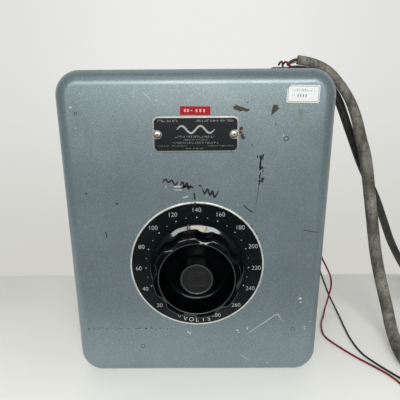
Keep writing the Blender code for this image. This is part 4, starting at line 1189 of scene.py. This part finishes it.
def make_sticker():
    place, front = seat("asset_sticker", radians(-1.0))
    outline = [(x, y) for x, y in rounded_outline(0.0183, 0.0096, 0.0018, 4) if x > -0.0140 or y < 0.0050]
    torn = [(-0.0183, 0.0048), (-0.0172, 0.0058), (-0.0166, 0.0071), (-0.0152, 0.0077), (-0.0146, 0.0096)]
    index = next(k for k, (x, y) in enumerate(outline) if x < 0 and y < 0.0090)
    outline = outline[:index] + torn[::-1] + outline[index:]
    paper = prism("sticker_paper", outline, GAP, front)
    sticker = mesh_piece("sticker_paper", paper, [PAPER], place)
    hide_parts("asset_sticker")
    under, over = front - 0.0001, front + 0.00004
    outer = rounded_outline(0.0173, 0.0086, 0.0020, 5)
    inner = rounded_outline(0.0168, 0.0081, 0.0016, 5)
    section = ((inner, under), (outer, under), (outer, over), (inner, over))
    border = loft("border", [at(station, line) for line, station in section], wrap=True)
    rng = random.Random(7)
    marks = [border]
    marks += mark_row(rng, -12, 13, 4.2, 2.8, under, over)
    marks += mark_row(rng, -12, -9, -1.6, 1.8, under, over)
    for x in (-6.0, -3.0, 0.0, 3.0):
        marks.append(stroke([(x, -3.6), (x + 0.2, -0.2)], 1.1, under, over))
    joined_piece("sticker_marks", marks, GREY_PRINT, place)


# ---------------------------------------------------- marks of use on the front

# Every mark is given by its x and height on the panel in millimetres.
MARKER_LINES = [
    [(-40.0, 271.0), (-36.5, 275.4), (-33.0, 271.6), (-29.0, 274.0), (-25.5, 268.6), (-21.5, 272.6)],
    [(-19.6, 267.6), (-16.0, 271.8), (-14.6, 265.4), (-11.0, 270.6), (-9.4, 263.4), (-5.6, 268.6)],
    [(-17.6, 264.0), (-11.0, 266.6), (-3.0, 264.8)],
    [(2.8, 267.8), (6.2, 266.6)],
    [(7.2, 264.4), (10.0, 257.6), (13.4, 263.0), (16.4, 255.4), (19.4, 260.8), (21.6, 253.0), (26.8, 260.9)],
]
MARKER_TICK = [(-2.5, 258.8), (-2.3, 255.0), (-1.9, 249.6)]
OLIVE_CHIPS = [
    [
        (43.6, 361.9), (45.2, 359.6), (42.0, 358.4), (43.2, 355.8), (47.4, 354.4), (50.0, 352.9),
        (53.6, 354.0), (57.4, 352.8), (60.5, 353.9), (60.6, 356.4), (58.4, 356.0), (53.8, 357.6),
        (48.8, 359.2),
    ],
    [(87.6, 360.4), (86.2, 355.4), (85.6, 347.9), (91.0, 353.0), (95.2, 356.8), (92.6, 357.2), (93.2, 359.9)],
    [(-133.9, 259.2), (-133.0, 256.4), (-131.2, 257.8), (-131.8, 259.6)],
]
PALE_PATCHES = [
    [(115.0, 356.0), (118.6, 354.8), (121.4, 355.8), (121.8, 347.0), (119.8, 340.2), (117.6, 345.8)],
]
LIGHT_SCRATCHES = [
    ([(-26.8, 266.6), (-23.0, 266.2), (-18.4, 266.9)], 1.7),
    ([(-26.0, 262.0), (-21.0, 262.2), (-17.0, 262.1)], 1.0),
    ([(-15.8, 252.8), (-10.0, 254.2)], 1.3),
    ([(-37.6, 265.0), (-35.8, 267.0)], 1.0),
    ([(65.0, 62.5), (84.0, 77.4), (103.8, 92.5), (107.5, 89.5), (113.8, 81.0)], 0.7),
    ([(56.0, 32.0), (69.0, 22.0)], 0.5),
    ([(100.2, 327.0), (101.6, 325.0)], 0.9),
    ([(-59.0, 375.0), (-50.0, 366.5)], 0.5),
    ([(-44.8, 366.6), (-43.4, 365.4)], 0.9),
    ([(96.0, 17.8), (94.0, 17.2)], 1.0),
]
LIGHT_CHIPS = [
    (133.5, 116.0, 5.0, 3.6), (134.5, 110.5, 3.0, 2.6), (142.0, 73.6, 3.8, 1.4), (142.5, 70.4, 2.6, 1.6),
    (149.0, 82.0, 2.0, 1.6), (53.5, 69.0, 4.6, 1.6), (54.5, 66.0, 3.0, 1.4), (66.2, 72.0, 2.2, 4.0),
    (-13.0, 66.4, 2.2, 4.6), (-10.2, 64.6, 2.2, 4.2), (-8.0, 67.2, 1.4, 2.4), (-76.0, 70.5, 2.4, 1.2),
    (-141.0, 359.0, 3.0, 2.0), (-137.5, 336.0, 2.0, 1.4), (60.0, 335.0, 1.4, 1.0), (-104.0, 39.0, 1.6, 1.4),
]
DARK_SCRATCHES = [
    ([(75.8, 280.0), (74.0, 262.0), (72.0, 243.0)], 0.5),
    ([(56.5, 243.0), (62.0, 238.0), (69.5, 233.0)], 1.4),
    ([(130.5, 210.5), (141.0, 208.6), (151.0, 207.2)], 0.8),
    ([(63.0, 317.0), (67.0, 313.6)], 0.7),
    ([(92.0, 341.5), (90.4, 337.0)], 0.7),
    ([(-97.6, 247.0), (-94.6, 244.0)], 1.6),
    ([(-112.6, 209.6), (-111.4, 201.4)], 1.6),
]
HOOPS = [
    (104.0, 322.5, 2.9, 2.0), (126.5, 70.0, 2.7, 2.2), (-74.0, 45.0, 3.0, 2.4), (-136.0, 352.0, 1.8, 1.2),
]
STAIN_CENTRES = [(52.4, 334.4), (51.0, 330.0), (53.4, 326.4), (54.6, 323.6), (49.8, 333.4)]
RUST_CIRCLE = 85.6
RUST_TURNS = (38, 44, 52, 60, 66, 138, 142, 149)


def make_front_marks():
    """Handwriting, chips, scratches, dirt and rust, in pieces of one colour each."""
    rng = random.Random(1957)
    marker = [stroke(line, 2.3) for line in MARKER_LINES]
    marker.append(stroke(MARKER_TICK, 2.1))
    marker.append(stroke([(-1.9, 247.3), (-1.6, 241.8)], 2.3, 0.0016, 0.00185))
    light = [stroke(line, width) for line, width in LIGHT_SCRATCHES]
    light += [blob(rng, *place) for place in LIGHT_CHIPS]
    for _ in range(26):  # pale specks all over
        place = rng.uniform(-138, 138), rng.uniform(26, 380)
        light.append(blob(rng, *place, *([rng.uniform(0.5, 1.3)] * 2), 6))
    dark = [stroke(line, width) for line, width in DARK_SCRATCHES]
    dark += [hoop(*place) for place in HOOPS]
    dark.append(blob(rng, 58.8, 363.0, 1.6, 1.6))
    for _ in range(30):  # upright scuffs above the dial, to its right
        x, z = rng.gauss(76.5, 2.6), rng.uniform(270, 304)
        fall = rng.uniform(2.0, 6.5)
        middle = (x + rng.uniform(-0.4, 0.4), z)
        end = (x + rng.uniform(-0.8, 0.8), z - fall / 2)
        dark.append(stroke([(x, z + fall / 2), middle, end], rng.uniform(0.5, 1.8)))
    for _ in range(44):  # a row of dirt across the lower left
        place = rng.uniform(-146, -35), rng.gauss(72.0, 0.9)
        dark.append(blob(rng, *place, rng.uniform(0.9, 3.6), rng.uniform(0.5, 1.5), 7))
    for _ in range(70):  # dark specks all over
        place = rng.uniform(-138, 138), rng.uniform(24, 380)
        dark.append(blob(rng, *place, rng.uniform(0.3, 0.9), rng.uniform(0.3, 0.9), 6))
    for _ in range(12):  # a small cluster towards the right edge
        dark.append(blob(rng, rng.uniform(116, 125), rng.uniform(228, 239), 1.1, 0.8, 6))
    rust = [blob(rng, x, z, 5.0, 4.2, 11) for x, z in STAIN_CENTRES]
    for turn in RUST_TURNS:
        angle = radians(turn)
        x, z = RUST_CIRCLE * sin(angle), AXIS_Z / MM + RUST_CIRCLE * cos(angle)
        rust.append(blob(rng, x, z, rng.uniform(1.2, 3.2), rng.uniform(1.2, 2.6)))
    for name, shapes, finish in (
        ("marker_lines", marker, MARKER_INK),
        ("paint_chips", [patch(outline) for outline in OLIVE_CHIPS], OLIVE),
        ("light_chips", light, CHIP_WHITE),
        ("pale_patches", [patch(outline) for outline in PALE_PATCHES], PALE_DIRT),
        ("dark_marks", dark, DARK_DIRT),
        ("rust_stains", rust, RUST),
    ):
        joined_piece(name, shapes, finish, on_panel())


PLATE_METAL = metal("plate_metal", (164, 168, 166), (130, 132, 128), 0.48, metallic=0.5)
PLATE_BLACK = mark_paint("plate_black", (16, 22, 27), (34, 40, 44), 0.34, 0.2)
PLATE_INK = mark_paint("plate_ink", (158, 164, 164), (96, 102, 102), 0.45)
RIVET_METAL = metal("rivet_metal", (206, 200, 184), (150, 142, 122), 0.36)
DARK_MARK = mark_paint("dark_mark", (26, 22, 20), (60, 50, 42), 0.6)
TAPE_WHITE = mark_paint("tape_white", (196, 172, 176), (170, 90, 104), 0.45)
GREY_PRINT = mark_paint("grey_print", (64, 67, 72), (122, 124, 124), 0.5)
MARKER_INK = mark_paint("marker_ink", (12, 13, 15), (30, 32, 36), 0.5)
OLIVE = mark_paint("under_paint", (64, 66, 56), (50, 50, 44), 0.6, 0.2)
CHIP_WHITE = mark_paint("chip_white", (190, 196, 194), (140, 148, 146), 0.6)
PALE_DIRT = mark_paint("pale_dirt", (112, 124, 122), (100, 112, 110), 0.6)
DARK_DIRT = mark_paint("dark_dirt", (44, 49, 48), (74, 82, 80), 0.6, 0.2)
RUST = mark_paint("rust", (72, 62, 52), (98, 88, 76), 0.8, 0.2)

make_nameplate()
make_rivets()
make_tape()
make_sticker()
make_front_marks()
